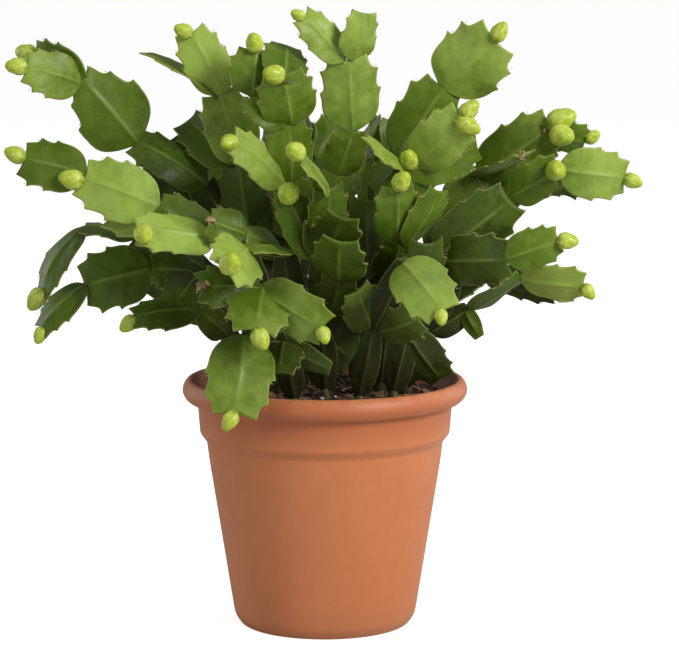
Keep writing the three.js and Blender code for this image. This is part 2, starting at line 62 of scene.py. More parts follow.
# Pot and mix. The wall's corners are the radius of its outside and a height, from the lowest one up.
RIM_RADIUS = 75.9
RIM_TOP = 131.5
WALL = 2.0
FLOOR = 2.6
FOOT_RADIUS = 47.4
FILLET_SHARE = 0.48
WALL_CORNERS = ((62.9, 99.2), (66.4, 103.6), (67.6, 118.4))
GAP = 0.35
MIX_TOP = 121.5
MIX_MOUND = 1.6
MIX_LUMPS = 0.7
LUMP_PITCH = 9.0
PEG_DEPTH = 14.0
PEG_HEIGHT = 6.5

# Segments
PLAIN_WIDTH = 20.0
NECK = 2.1
RIB_THICKNESS = 2.1
MARGIN_THICKNESS = 0.9
CUP = 0.1
FOLD = 0.75
WAVE = 0.07
WAVES = 1.2
WAVE_STEP = 0.37
SUNK = 3.0
SOCKET_SHARE = 0.9
GROWS_ON = 0.35
FOOT = 0.93
END = 0.97
BLADE_MAP = 1.1

# How woody a front stem's lowest segment is, and how much less each one after it. A rear stem's three ages.
WOODY = 0.75
LESS_WOODY = 0.3
REAR_WOOD = (0.7, 0.4, 0.0)

# Wood fades by a share to a segment's end and is thick at its neck, and its tone lightens along it. An areole
# lies past its tooth's point and in from it, by shares of the length and of half the width, and leans on.
WOOD_FADE = 0.55
NECK_WOOD = 0.5
TONE_RISE = 0.1
AREOLE_PAST = 0.03
AREOLE_IN = 0.13
AREOLE_LEAN = 0.6

# Buds
BUD_FATNESS = 0.33
BUD_SUNK = 2.0

# A segment or a bud takes its own numbers from its stem's place and its own place there.
STEM_NUMBERS = 100
BUD_NUMBERS = 60

# The eye in front of the plant, and where the front stems' across and up are measured: the upright plane
# through the pot's axis.
EYE = np.array([0.0, -1500.0, 374.5])

# Each stem has the place of its rooted end on the mix and its segments in order of growth. A segment has its
# key, the key of the one that it grows from, the across, up and depth of its tip, its width, its turn about
# its own length in degrees (0 faces the front), its arch, and how much it narrows to its end, where it does.
# A bud has the key of its segment and the across, up and depth of its point.
FRONT_STEMS = (
    dict(name="stem_left_high", root=(-26, 8), segments=(
        ("a0", "root", -31, 158, 8, 16, 20, 0.02), ("a1", "a0", -40, 198, 7, 19, -20, 0.03),
        ("a2", "a1", -64, 233, 8, 26, 20, 0.04), ("a3", "a2", -99, 257, 8, 25, 30, 0.08),
        ("a4", "a3", -127, 290, -2, 40, 5, 0.05, 0.4), ("a5", "a4", -156, 296, -16, 25, 15, 0.08),
        ("a6", "a4", -151, 302, 14, 26, -30, 0.08), ("a7", "a2", -96, 242, 26, 28, 10, 0.06),
        ("a8", "a0", -39, 200, 20, 26, 15, 0.05), ("i1", "a1", -45, 246, 2, 27, -10, 0.04),
        ("i2", "i1", -55, 282, 0, 29, 8, 0.05), ("i3", "i2", -70, 314, -8, 25, 5, 0.05),
        ("i4", "i2", -92, 303, 8, 22, 80, 0.08), ("i5", "i1", -72, 268, 20, 26, 20, 0.05),
    ), buds=(("a5", -168, 297, -20), ("a6", -162, 305, 20), ("i3", -79, 317, -14))),
    dict(name="stem_left_middle", root=(-14, -16), segments=(
        ("b0", "root", -17, 158, -26, 16, 10, 0.03), ("b1", "b0", -21, 200, -40, 19, -10, 0.03),
        ("b2", "b1", -60, 206, -50, 22, 76, 0.05), ("b3", "b2", -88, 223, -44, 24, 20, 0.05),
        ("b4", "b3", -127, 238, -40, 31, 8, 0.06), ("b5", "b4", -158, 248, -34, 27, 12, 0.05),
        ("b6", "b2", -99, 210, -66, 27, 42, 0.06), ("b7", "b1", -42, 208, -56, 17, 30, 0.05),
        ("b8", "b7", -61, 215, -60, 21, 15, 0.05), ("b9", "b2", -113, 218, -34, 28, 48, 0.05),
        ("p0", "b1", -42, 200, -76, 20, 78, 0.04), ("p1", "p0", -52, 189, -108, 31, 0, 0.1),
    ), buds=(("b4", -141, 239, -45), ("b5", -169, 253, -34), ("b6", -94, 204, -77), ("p1", -48, 197, -119))),
    dict(name="stem_left_low", root=(-40, -14), segments=(
        ("c0", "root", -50, 156, -18, 15, 15, 0.03), ("c1", "c0", -66, 190, -20, 19, 10, 0.04),
        ("c2", "c1", -100, 207, -14, 27, 30, 0.05), ("c3", "c2", -127, 212, -10, 24, 72, 0.04),
        ("c4", "c3", -149, 178, -14, 23, 58, 0.1), ("c5", "c1", -92, 190, -26, 22, 10, 0.05),
        ("c6", "c5", -127, 181, -30, 33, 5, 0.06), ("c7", "c6", -150, 158, -32, 21, 46, 0.08),
        ("c8", "c1", -79, 171, -40, 26, 20, 0.06), ("h1", "c0", -67, 168, -40, 17, 10, 0.04),
        ("h2", "h1", -101, 164, -48, 22, 40, 0.06), ("c9", "c0", -71, 197, 20, 26, 45, 0.06),
    ), buds=(("c4", -157, 167, -14), ("c7", -153, 149, -36), ("h2", -109, 156, -50))),
    dict(name="stem_top", root=(-3, 10), segments=(
        ("k0", "root", -4, 162, 8, 16, 10, 0.02), ("k1", "k0", -6, 204, 2, 19, -15, 0.03),
        ("k2", "k1", -20, 236, -14, 25, 15, 0.04), ("k3", "k2", -19, 266, -22, 27, 20, 0.04),
        ("k4", "k3", -22, 292, -34, 31, 5, 0.06), ("k5", "k4", -20, 307, -8, 25, 15, 0.05),
        ("k6", "k3", -38, 281, -24, 20, 20, 0.05), ("k7", "k6", -36, 305, -20, 27, 10, 0.05),
        ("k8", "k2", -48, 258, -36, 22, 30, 0.06), ("k9", "k1", -12, 240, 34, 28, 75, 0.06),
        # k11 hangs wide and dark, with the old tone, in front of the pot's inner wall: a dark leaf put there
        # as painted shade.
        ("k10", "k9", -16, 272, 50, 27, 85, 0.05), ("k11", "k0", 14, 141, -18, 28, 10, 0.1),
        ("t2", "k1", 7, 240, 0, 25, 10, 0.04), ("t3", "t2", 15, 263, -8, 22, 10, 0.04),
        ("t4", "t3", 12, 300, -14, 31, 5, 0.05), ("t5", "t4", -11, 322, -20, 20, 25, 0.06),
        ("t6", "t4", 21, 324, -16, 24, 40, 0.06),
    ), buds=(
        ("k4", -32.5, 293.5, -43), ("k7", -37.5, 314, -28), ("k8", -54.2, 255.3, -46), ("t5", -18, 325, -24),
    )),
    dict(name="stem_centre", root=(0, -14), segments=(
        ("m0", "root", -2, 160, -28, 16, 5, 0.03), ("m1", "m0", -2, 196, -48, 19, 10, 0.05),
        ("m2", "m1", 2, 232, -66, 25, 30, 0.05), ("m3", "m2", -13, 250, -84, 24, 78, 0.05),
        ("m4", "m1", -20, 228, -64, 21, 20, 0.04), ("m5", "m0", 8, 184, -58, 25, 10, 0.05),
        ("m6", "m5", 8, 204, -88, 28, -10, 0.06), ("m7", "m1", 9, 217, -76, 26, 0, 0.06),
        ("m8", "m0", -10, 178, -62, 25, 75, 0.06),
    ), buds=(("m3", -19, 255, -94), ("m4", -18.5, 233.5, -77))),
    dict(name="stem_centre_right", root=(18, -4), segments=(
        ("v0", "root", 24, 163, -12, 16, 10, 0.03), ("v1", "v0", 31, 186, -24, 19, 0, 0.03),
        ("v2", "v1", 40, 203, -46, 20, 20, 0.05), ("v3", "v2", 38, 233, -62, 24, 15, 0.05),
        ("v4", "v2", 60, 231, -54, 22, 50, 0.05), ("v5", "v0", 22, 226, -4, 26, 10, 0.04),
        ("d1", "v0", 37, 205, -22, 19, -10, 0.03), ("d2", "d1", 44, 245, -36, 25, 25, 0.04),
        ("d3", "d2", 72, 270, -50, 27, 8, 0.06), ("d4", "d2", 24, 255, -58, 22, 75, 0.05),
        ("d5", "d2", 80, 255, -22, 26, 20, 0.05),
    ), buds=(("v3", 43.5, 241, -70), ("d3", 81, 279, -50), ("d3", 82.5, 261.5, -53), ("d2", 44, 252, -47))),
    dict(name="stem_front_left", root=(-16, -42), segments=(
        ("q0", "root", -22, 152, -56, 15, 0, 0.04), ("q1", "q0", -34, 180, -68, 19, 10, 0.06),
        ("q2", "q1", -37, 157, -96, 33, 0, 0.12), ("q3", "q1", -1, 158, -90, 26, 8, 0.12),
        ("q4", "q0", -24, 134, -78, 22, 10, 0.1), ("q5", "q0", 3, 136, -72, 14, 20, 0.05),
        ("p2", "q1", -66, 180, -84, 24, 20, 0.06), ("r0", "q0", -44, 152, -74, 19.5, 0, 0.05),
        ("r1", "r0", -48, 112, -92, 34, 0, 0.14),
    ), buds=(("q2", -31, 145.5, -100), ("q3", 1, 149, -96), ("r1", -54, 102, -96))),
    dict(name="stem_front_right", root=(18, -34), segments=(
        ("y0", "root", 26, 158, -50, 15, 0, 0.04), ("y1", "y0", 43, 194, -72, 19, 15, 0.05),
        ("y2", "y1", 62, 167, -98, 29, -10, 0.12), ("y3", "y0", 50, 163, -66, 22, 20, 0.05),
        ("y4", "y0", 17, 178, -69, 23, 20, 0.05),
    ), buds=(("y2", 62, 159, -104),)),
    dict(name="stem_right_high", root=(30, 7), segments=(
        ("u0", "root", 34, 162, 9, 16, 0, 0.03), ("u1", "u0", 34, 206, 10, 19, 10, 0.03),
        ("u2", "u1", 38, 250, 8, 26, -10, 0.04), ("u3", "u2", 62, 286, 4, 32, 10, 0.05),
        ("u4", "u3", 89, 310, -6, 38, 5, 0.05), ("u5", "u1", 47, 238, 34, 27, 80, 0.06),
        ("f1", "u0", 56, 198, 8, 19, 10, 0.04), ("f2", "f1", 80, 240, 4, 25, 20, 0.05),
        ("f3", "f2", 119, 265, -10, 31, 10, 0.05), ("f4", "f3", 137, 257, -2, 20, 30, 0.06),
        ("f5", "f2", 104, 250, -30, 22, 80, 0.05),
    ), buds=(("u4", 95, 320, -8), ("f3", 133, 272, -14), ("f3", 131, 258, -20), ("f4", 145, 262, -4))),
    dict(name="stem_right_middle", root=(42, 0), segments=(
        ("j0", "root", 53, 157, -2, 16, 0, 0.03), ("j1", "j0", 70, 196, -12, 19, 10, 0.04),
        ("j2", "j1", 97, 229, -16, 25, 20, 0.05), ("j3", "j2", 123, 243, -22, 24, 25, 0.05),
        ("j4", "j3", 158, 238, -18, 27, 10, 0.06), ("j5", "j1", 94, 213, 18, 27, 75, 0.06),
        ("j6", "j0", 62, 182, 23, 26, 70, 0.06), ("n1", "j0", 76, 168, 0, 17, 10, 0.04),
        ("n2", "n1", 104, 186, -8, 24, 72, 0.05), ("n3", "n2", 137, 181, -14, 24, 40, 0.07),
        ("n4", "n1", 82, 153, -6, 11, 10, 0.06),
    ), buds=(("j3", 122, 241, -36), ("j4", 168, 234, -18), ("n3", 143, 173, -16))),
    dict(name="stem_right_front", root=(36, -20), segments=(
        ("g0", "root", 45, 158, -28, 16, 0, 0.04), ("g1", "g0", 60, 196, -42, 19, 10, 0.05),
        ("g2", "g1", 97, 226, -46, 31, 10, 0.06), ("g3", "g1", 96, 195, -58, 29, 15, 0.06),
        ("g4", "g3", 123, 205, -58, 22, 15, 0.05), ("w1", "g0", 62, 131, -16, 22, 15, 0.1),
        ("g5", "g0", 54, 203, -60, 25, 25, 0.06),
    ), buds=(("g4", 135, 204, -60),)),
)

# How light a green each front segment is, from 0, dark, to 1, bright: lighter when young, and set darker as
# painted shade where it lies deep in the plant or in shadow.
AGE_AND_SHADE_TONES = dict(
    a3=0.3, a4=0.45, a5=0.65, a6=0.5, a7=0.2, a8=0.15, i1=0.35, i2=0.7, i3=0.98, i4=0.6, i5=0.3,
    b2=0.55, b3=0.4, b4=0.87, b5=0.4, b6=0.87, b7=0.45, b8=0.45, b9=0.85, p0=0.6, p1=0.8,
    c2=0.3, c3=0.35, c4=0.35, c5=0.3, c6=0.35, c7=0.3, c8=0.25, h1=0.3, h2=0.35, c9=0.15,
    k2=0.4, k3=0.5, k4=0.58, k5=0.45, k6=0.5, k7=0.5, k8=0.75, k9=0.15, k10=0.15, t2=0.4, t3=0.5, t4=0.78,
    t5=0.78, t6=0.75,
    m2=0.3, m3=0.7, m4=0.4, m5=0.3, m6=0.35, m7=0.25,
    v2=0.35, v3=0.5, v4=0.45, v5=0.25, d1=0.25, d2=0.35, d3=0.8, d4=0.75, d5=0.55,
    q2=0.55, q3=0.6, q4=0.25, q5=0.25, p2=0.3, r1=0.62,
    y2=0.8, y3=0.3, y4=0.25,
    u2=0.35, u3=0.45, u4=0.78, u5=0.2, f2=0.62, f3=0.6, f4=0.5, f5=0.65,
    j2=0.35, j3=0.45, j4=0.78, j5=0.15, n2=0.35, n3=0.92, n4=0.35,
    g2=0.2, g3=0.26, g4=0.55, w1=0.2, g5=0.25,
)

# The tone of a front segment that the tone table doesn't name, mostly low and inner ones: dark as old growth
# and as painted shade.
OLD_AND_SHADED_TONE = 0.08

# Segments whose end keeps the withered rest of a flower.
WITHERED = ("f3", "b8", "f5", "p1", "p2")

# The rear stems follow a rule: each has a trunk that rises from its rooted end, and boughs that arch from
# the trunk's end out to a reach and a height, with forks on the way.
REAR_SEED = 41
REAR_STEMS = (
    dict(name="stem_rear", angles=(32, 62, 90, 118, 146), trunk=((38,), (46, 163), (52, 202)), boughs=(
        dict(reach=82, crest=260, fall=0, swing=8, steps=2, forks=1, budding=False),
        dict(reach=146, crest=238, fall=8, swing=-7, steps=3, forks=2, budding=True),
    )),
    dict(name="stem_rear_low", angles=(34, 71, 109, 146), trunk=((52,), (66, 160)), boughs=(
        dict(reach=138, crest=192, fall=26, swing=0, steps=2, forks=2, budding=True),
    )),
)
REAR_FORK_ANGLE = 13
REAR_FORK_SETBACK = 0.05
REAR_FORK_LEAN = 0.25
REAR_SWAY = 3
REAR_TRUNK_WIDTH = 17
REAR_WIDTH = 27.5
REAR_WIDTH_SPREAD = 4
REAR_TURN = 28
REAR_ARCH = 0.06
REAR_FACING_RISE = 0.9
# A rear segment's tone rises with its height above the mix: low, inner segments are darker, partly as older
# growth and partly as painted shade.
REAR_TONE = 0.05
REAR_TONE_AND_SHADE_RISE = 0.5
REAR_TONE_HEIGHT = 150
REAR_TONE_SPREAD = 0.08
REAR_BUD = 12
REAR_BUD_CHANCE = 0.45

# Half margins of a segment from its neck to its end: how far along it, how far out as a share of half the
# width, and True where the margin turns sharply, at the point of a tooth or of a horn.
TOOTHED = (
    (0.035, 0.3), (0.09, 0.56), (0.17, 0.79), (0.27, 0.93), (0.37, 0.985), (0.46, 1.0), (0.53, 1.03),
    (0.585, 1.095, True), (0.593, 0.98), (0.615, 0.93), (0.66, 0.915), (0.73, 0.93), (0.79, 0.96),
    (0.845, 1.015, True), (0.852, 0.9), (0.865, 0.82), (0.9, 0.755), (0.95, 0.715), (1.0, 0.69),
    (1.075, 0.64, True),
)
PLAIN = (
    (0.06, 0.36), (0.15, 0.66), (0.27, 0.87), (0.4, 0.95), (0.55, 0.94), (0.7, 0.86), (0.82, 0.745),
    (0.92, 0.63), (1.01, 0.5, True),
)
# Where the points across a segment lie, as shares of half its width, closer at the rib and at the margin.
ACROSS = (0.0, 0.035, 0.08, 0.15, 0.27, 0.42, 0.58, 0.73, 0.85, 0.93, 0.975, 1.0)
TAPER_START = 0.5
END_MIDDLE = 1.0
END_BOW = 2.4
HORN_START = 0.96
END_ROUNDING = (0.022, 0.008)

# What a skin's marks are called on its mesh.
MARKS = ("tone", "wood", "spot")


class Slot(Enum):
    """The record's material slots."""

    POT = "pot_plastic"
    MIX = "potting_mix"
    PLANT = "plant_green"


class Finish(Enum):
    """Which of a stem's finishes a skin takes, in the order of the piece's material slots."""

    LEAF = 0
    BUD = 1
    WITHERED = 2


def unit(vector: np.ndarray) -> np.ndarray:
    """The vector at length 1."""
    return vector / np.linalg.norm(vector)


def smooth(value: np.ndarray, low: float, high: float) -> np.ndarray:
    """Rises smoothly from 0 at low to 1 at high."""
    share = np.clip((value - low) / (high - low), 0, 1)
    return share * share * (3 - 2 * share)


def sine(turns: np.ndarray) -> np.ndarray:
    """The sine of an angle in whole turns."""
    return np.sin(2 * math.pi * turns)


def srgb(red: int, green: int, blue: int) -> Colour:
    """A screen colour, 0 to 255 a channel, as the linear colour that shaders use."""
    linear = [((c / 255 + 0.055) / 1.055) ** 2.4 if c > 10 else c / 255 / 12.92 for c in (red, green, blue)]
    return (*linear, 1.0)


class SeededRandom:
    """A repeatable source of numbers, the same one as in the part's source."""

    def __init__(self, seed: int) -> None:
        """Starts at the seed."""
        self.state = seed

    def draw(self) -> float:
        """Draws the next number.

        Returns:
            The number, from 0 to 1.
        """
        whole = 0xFFFFFFFF
        self.state = (self.state + 0x6D2B79F5) & whole
        value = ((self.state ^ (self.state >> 15)) * (self.state | 1)) & whole
        value = (value + (((value ^ (value >> 7)) * (value | 61)) & whole)) & whole ^ value
        return (value ^ (value >> 14)) / 4294967296

    def sway(self, most: float) -> float:
        """The next number from -most to most."""
        return (2 * self.draw() - 1) * most


@dataclass(frozen=True, eq=False)
class Lie:
    """How a segment or bud lies: from its start along to its tip, across to its side, and out of its face."""

    start: np.ndarray
    along: np.ndarray
    side: np.ndarray
    face: np.ndarray
    length: float

    @classmethod
    def between(cls, start: np.ndarray, tip: np.ndarray, facing: np.ndarray, turn: float = 0.0) -> "Lie":
        """The lie from start to tip, with its face towards facing and then turned about its length.

        Args:
            start: where it starts.
            tip: where it ends.
            facing: the direction that its face looks in.
            turn: degrees about its own length.

        Returns:
            The lie.
        """
        along = unit(tip - start)
        face = unit(facing - along * facing.dot(along))
        angle = math.radians(turn)
        face = face * math.cos(angle) + np.cross(along, face) * math.sin(angle)
        return cls(start, along, np.cross(along, face), face, float(np.linalg.norm(tip - start)))

    def at(self, far: np.ndarray, out: np.ndarray, up: np.ndarray) -> np.ndarray:
        """The points that lie this far along, out to the side and up from the face."""
        far, out, up = (np.asarray(value, float)[..., None] for value in (far, out, up))
        return self.start + far * self.along + out * self.side + up * self.face


@dataclass(eq=False)
class Skin:
    """One closed skin with what its material reads at each point.

    The marks are how light its tone is, how woody it is, and how near it is to a spot such as a tooth.
    """

    points: np.ndarray
    faces: list[tuple[int, ...]]
    marks: np.ndarray
    uv: np.ndarray
    finish: Finish = Finish.LEAF


def linked(name: str, data: bpy.types.ID) -> Piece:
    """Makes an object and puts it in the scene.

    Args:
        name: its name.
        data: its mesh, camera or light.

    Returns:
        The object.
    """
    thing = bpy.data.objects.new(name, data)
    bpy.context.scene.collection.objects.link(thing)
    return thing


def settled(mesh: Mesh, slot: Slot, *nodes: str) -> None:
    """Puts a finished piece in the scene, on the root body, in place of its CAD nodes.

    Args:
        mesh: its mesh, which has the piece's name.
        slot: the record's material slot; not used.
        nodes: the CAD nodes that it stands for.
    """
    piece = linked(mesh.name, mesh)
    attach(piece, "root")
    if nodes:
        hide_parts(*nodes)
    log.info("%s: %d faces", piece.name, len(mesh.polygons))


def sewn(name: str, skins: Sequence[Skin], finishes: Sequence[Material]) -> Mesh:
    """Makes one piece's mesh of closed skins.

    Args:
        name: the piece's name.
        skins: its skins.
        finishes: its materials, in the order of Finish.

    Returns:
        The mesh.
    """
    starts = np.cumsum([0] + [len(skin.points) for skin in skins])
    faces = [tuple(int(corner + start) for corner in face)
             for skin, start in zip(skins, starts) for face in skin.faces]
    points, marks, uv = (np.concatenate(each) for each in zip(*((s.points, s.marks, s.uv) for s in skins)))
    mesh = bpy.data.meshes.new(name)
    mesh.from_pydata((points * MM).tolist(), [], faces)
    slots = np.concatenate([np.full(len(skin.faces), skin.finish.value) for skin in skins])
    mesh.polygons.foreach_set("material_index", slots.astype(np.int32))
    mesh.shade_smooth()
    for key, column in zip(MARKS, marks.T):
        layer = mesh.attributes.new(key, "FLOAT", "POINT")
        layer.data.foreach_set("value", np.ascontiguousarray(column, np.float32))
    corners = np.zeros(len(mesh.loops), np.int32)
    mesh.loops.foreach_get("vertex_index", corners)
    mesh.uv_layers.new(name="blade").data.foreach_set("uv", uv[corners].astype(np.float32).ravel())
    for finish in finishes:
        mesh.materials.append(finish)
    return mesh


class Graph:
    """Adds nodes to a shader or geometry tree and links them, one line for each."""

    def __init__(self, tree: Tree) -> None:
        """Starts on a tree."""
        self.tree = tree

    def feed(self, socket: Socket, value: object) -> None:
        """Gives a socket what it takes.

        Args:
            socket: the socket.
            value: another node's socket, which is linked to it, or a plain value.
        """
        if isinstance(value, Socket):
            self.tree.links.new(value, socket)
        else:
            socket.default_value = value

    def add(self, kind: str, inputs: dict | None = None, **settings: object) -> bpy.types.Node:
        """Adds one node.

        Args:
            kind: the node's type.
            inputs: what goes in each socket, by name or number: another node's socket, or a value.
            settings: the node's own settings.

        Returns:
            The node.
        """
        node = self.tree.nodes.new(kind)
        for name, value in settings.items():
            setattr(node, name, value)
        for key, value in (inputs or {}).items():
            self.feed(node.inputs[key], value)
        return node

    def math(self, operation: str, *values: object, clamp: bool = False) -> Socket:
        """The result of one sum on numbers."""
        inputs = dict(enumerate(values))
        return self.add("ShaderNodeMath", inputs, operation=operation, use_clamp=clamp).outputs[0]

    def times(self, first: object, second: object) -> Socket:
        """The product of two numbers."""
        return self.math("MULTIPLY", first, second)

    def plus(self, first: object, second: object) -> Socket:
        """The sum of two numbers."""
        return self.math("ADD", first, second)

    def minus(self, first: object, second: object) -> Socket:
        """The first number less the second."""
        return self.math("SUBTRACT", first, second)

    def blend(self, share: object, first: object, second: object) -> Socket:
        """A colour between two, by a share from 0 to 1."""
        return self.add("ShaderNodeMix", {0: share, 6: first, 7: second}, data_type="RGBA").outputs[2]

    def tint(self, colour: object, mask: Socket, most: float, towards: Colour) -> Socket:
        """A colour taken towards another where the mask is, and at most so far."""
        return self.blend(self.times(mask, most), colour, towards)

    def band(self, value: object, low: float, high: float, start: float = 0.0, end: float = 1.0) -> Socket:
        """Goes smoothly from start to end as the value goes from low to high."""
        inputs = {0: value, 1: low, 2: high, 3: start, 4: end}
        return self.add("ShaderNodeMapRange", inputs, interpolation_type="SMOOTHSTEP").outputs[0]

    def noise(self, where: object, scale: object, detail: float = 3.0, rough: float = 0.55) -> Socket:
        """A cloudy value from 0 to 1 at the places given."""
        inputs = {"Vector": where, "Scale": scale, "Detail": detail, "Roughness": rough}
        return self.add("ShaderNodeTexNoise", inputs).outputs[0]

    def place(self) -> Socket:
        """Where a point lies on the object."""
        return self.add("ShaderNodeTexCoord").outputs["Object"]

    def mark(self, name: str) -> Socket:
        """The number that a piece's mesh carries under this name."""
        return self.add("ShaderNodeAttribute", attribute_name=name).outputs["Fac"]

    def group(self, tree: Tree, **inputs: object) -> bpy.types.Node:
        """A shared group with its own values. A socket's name is written with _ for a space."""
        named = {key.replace("_", " "): value for key, value in inputs.items()}
        return self.add("ShaderNodeGroup", named, node_tree=tree)


def shader_group(name: str, inputs: dict[str, float], outputs: Sequence[str],
                 fill: Callable[[Graph, dict], dict]) -> Tree:
    """Makes a shader group of numbers.

    Args:
        name: the group's name.
        inputs: its inputs and their values.
        outputs: its outputs' names.
        fill: adds the nodes between the inputs' sockets and the sockets that it returns for the outputs.

    Returns:
        The group.
    """
    tree = bpy.data.node_groups.new(name, "ShaderNodeTree")
    for key, value in inputs.items():
        socket = tree.interface.new_socket(name=key, in_out="INPUT", socket_type="NodeSocketFloat")
        socket.default_value = value
    for key in outputs:
        tree.interface.new_socket(name=key, in_out="OUTPUT", socket_type="NodeSocketFloat")
    given = tree.nodes.new("NodeGroupInput")
    made = tree.nodes.new("NodeGroupOutput")
    results = fill(Graph(tree), {key: given.outputs[key] for key in inputs})
    for key in outputs:
        tree.links.new(results[key], made.inputs[key])
    return tree


def fill_mottle(graph: Graph, given: dict) -> dict:
    """Two sizes of soft clouds, and their mean.

    Args:
        graph: the group's graph.
        given: the scales of the large and of the small clouds.

    Returns:
        Both together, the large ones and the small ones.
    """
    large_share, middle = 0.6, (0.35, 0.65)
    where = graph.place()
    large = graph.noise(where, given["Large Scale"], detail=2.0)
    small = graph.noise(where, given["Small Scale"], detail=4.0, rough=0.6)
    both = graph.plus(graph.times(large, large_share), graph.times(small, 1 - large_share))
    return {"Clouds": graph.band(both, 0.34, 0.66), "Large": graph.band(large, *middle),
            "Small": graph.band(small, *middle)}


def fill_grain(graph: Graph, given: dict) -> dict:
    """A fine grain: pores of one size with a softer swell under them.

    Args:
        graph: the group's graph.
        given: the scale and the depth of the pores and of the swell.

    Returns:
        The grain's height.
    """
    where = graph.place()
    pores = graph.add("ShaderNodeTexVoronoi", {"Vector": where, "Scale": given["Pore Scale"]},
                      feature="SMOOTH_F1").outputs[0]
    swell = graph.noise(where, given["Swell Scale"])
    return {"Height": graph.plus(graph.times(pores, given["Pore Depth"]),
                                 graph.times(swell, given["Swell Depth"]))}


def fill_blade_lines(graph: Graph, given: dict) -> dict:
    """What runs along a blade: its rib, the side veins that sweep to the teeth, and its thin margin.

    Args:
        graph: the group's graph.
        given: where the point lies across and along the blade, and how wide its rib is.

    Returns:
        The masks of the rib, the veins and the margin.
    """
    wander, sweep, first_vein, pitch, thickness = 0.05, 0.3, 0.2, 0.14, 0.022
    out = graph.math("ABSOLUTE", given["Across"])
    drift = graph.noise(graph.place(), scale=90.0, detail=2.0)
    wobble = graph.times(graph.minus(drift, 0.5), wander)
    swept = graph.plus(graph.minus(given["Along"], graph.times(out, sweep)), wobble)
    near = graph.math("PINGPONG", graph.minus(swept, first_vein), pitch)
    side = graph.times(graph.band(near, thickness, 0.0), graph.band(out, 1.0, 0.55))
    rib = graph.times(graph.band(out, given["Rib Width"], 0.0), graph.band(given["Along"], 1.0, 0.75))
    return {"Rib": rib, "Veins": side, "Margin": graph.band(out, 0.93, 1.0)}


def make_material(name: str) -> tuple[Material, Graph, bpy.types.Node]:
    """Makes a plain new material.

    Args:
        name: its name.

    Returns:
        The material, its graph and its Principled BSDF.
    """
    material = bpy.data.materials.new(name)
    material.use_nodes = True
    return material, Graph(material.node_tree), material.node_tree.nodes["Principled BSDF"]


@dataclass(frozen=True)
class Effects:
    """The shader groups that the finishes share."""

    mottle: Tree
    grain: Tree
    blade_lines: Tree

    @classmethod
    def make(cls) -> "Effects":
        """Makes the groups.

        Returns:
            The effects.
        """
        return cls(
            shader_group("mottle", {"Large Scale": 40.0, "Small Scale": 300.0},
                         ("Clouds", "Large", "Small"), fill_mottle),
            shader_group("grain", {"Pore Scale": 900.0, "Pore Depth": 0.5, "Swell Scale": 200.0,
                                   "Swell Depth": 0.5}, ("Height",), fill_grain),
            shader_group("blade_lines", {"Across": 0.0, "Along": 0.0, "Rib Width": 0.09},
                         ("Rib", "Veins", "Margin"), fill_blade_lines),
        )


class Coat:
    """One of the object's materials, with the clouds and the grain that every one of them has."""

    def __init__(self, name: str, effects: Effects, clouds: Sequence[float], grain: Sequence[float]) -> None:
        """Starts the material.

        Args:
            name: its name.
            effects: the shared groups.
            clouds: the scales of its large and of its small clouds.
            grain: the scale and the depth of its pores, and of its swell.
        """
        self.material, self.graph, self.surface = make_material(name)
        mottle = self.graph.group(effects.mottle, Large_Scale=clouds[0], Small_Scale=clouds[1])
        self.clouds, self.large, self.small = mottle.outputs
        self.grain = self.graph.group(effects.grain, Pore_Scale=grain[0], Pore_Depth=grain[1],
                                      Swell_Scale=grain[2], Swell_Depth=grain[3]).outputs[0]

    def finish(self, colour: Socket, rough: Socket, relief: Socket, bump: Sequence[float],
               **constants: object) -> Material:
        """Gives the surface its looks.

        Args:
            colour: its colour.
            rough: its roughness.
            relief: the height that bumps it.
            bump: how strong the bump is, and how high in metres.
            constants: what is the same all over it, by socket, with _ for a space.

        Returns:
            The material.
        """
        strength, distance = bump
        inputs = {"Strength": strength, "Distance": distance, "Height": relief}
        normal = self.graph.add("ShaderNodeBump", inputs)
        self.graph.feed(self.surface.inputs["Base Color"], colour)
        self.graph.feed(self.surface.inputs["Roughness"], rough)
        self.graph.feed(self.surface.inputs["Normal"], normal.outputs[0])
        for key, value in constants.items():
            self.surface.inputs[key.replace("_", " ")].default_value = value
        return self.material


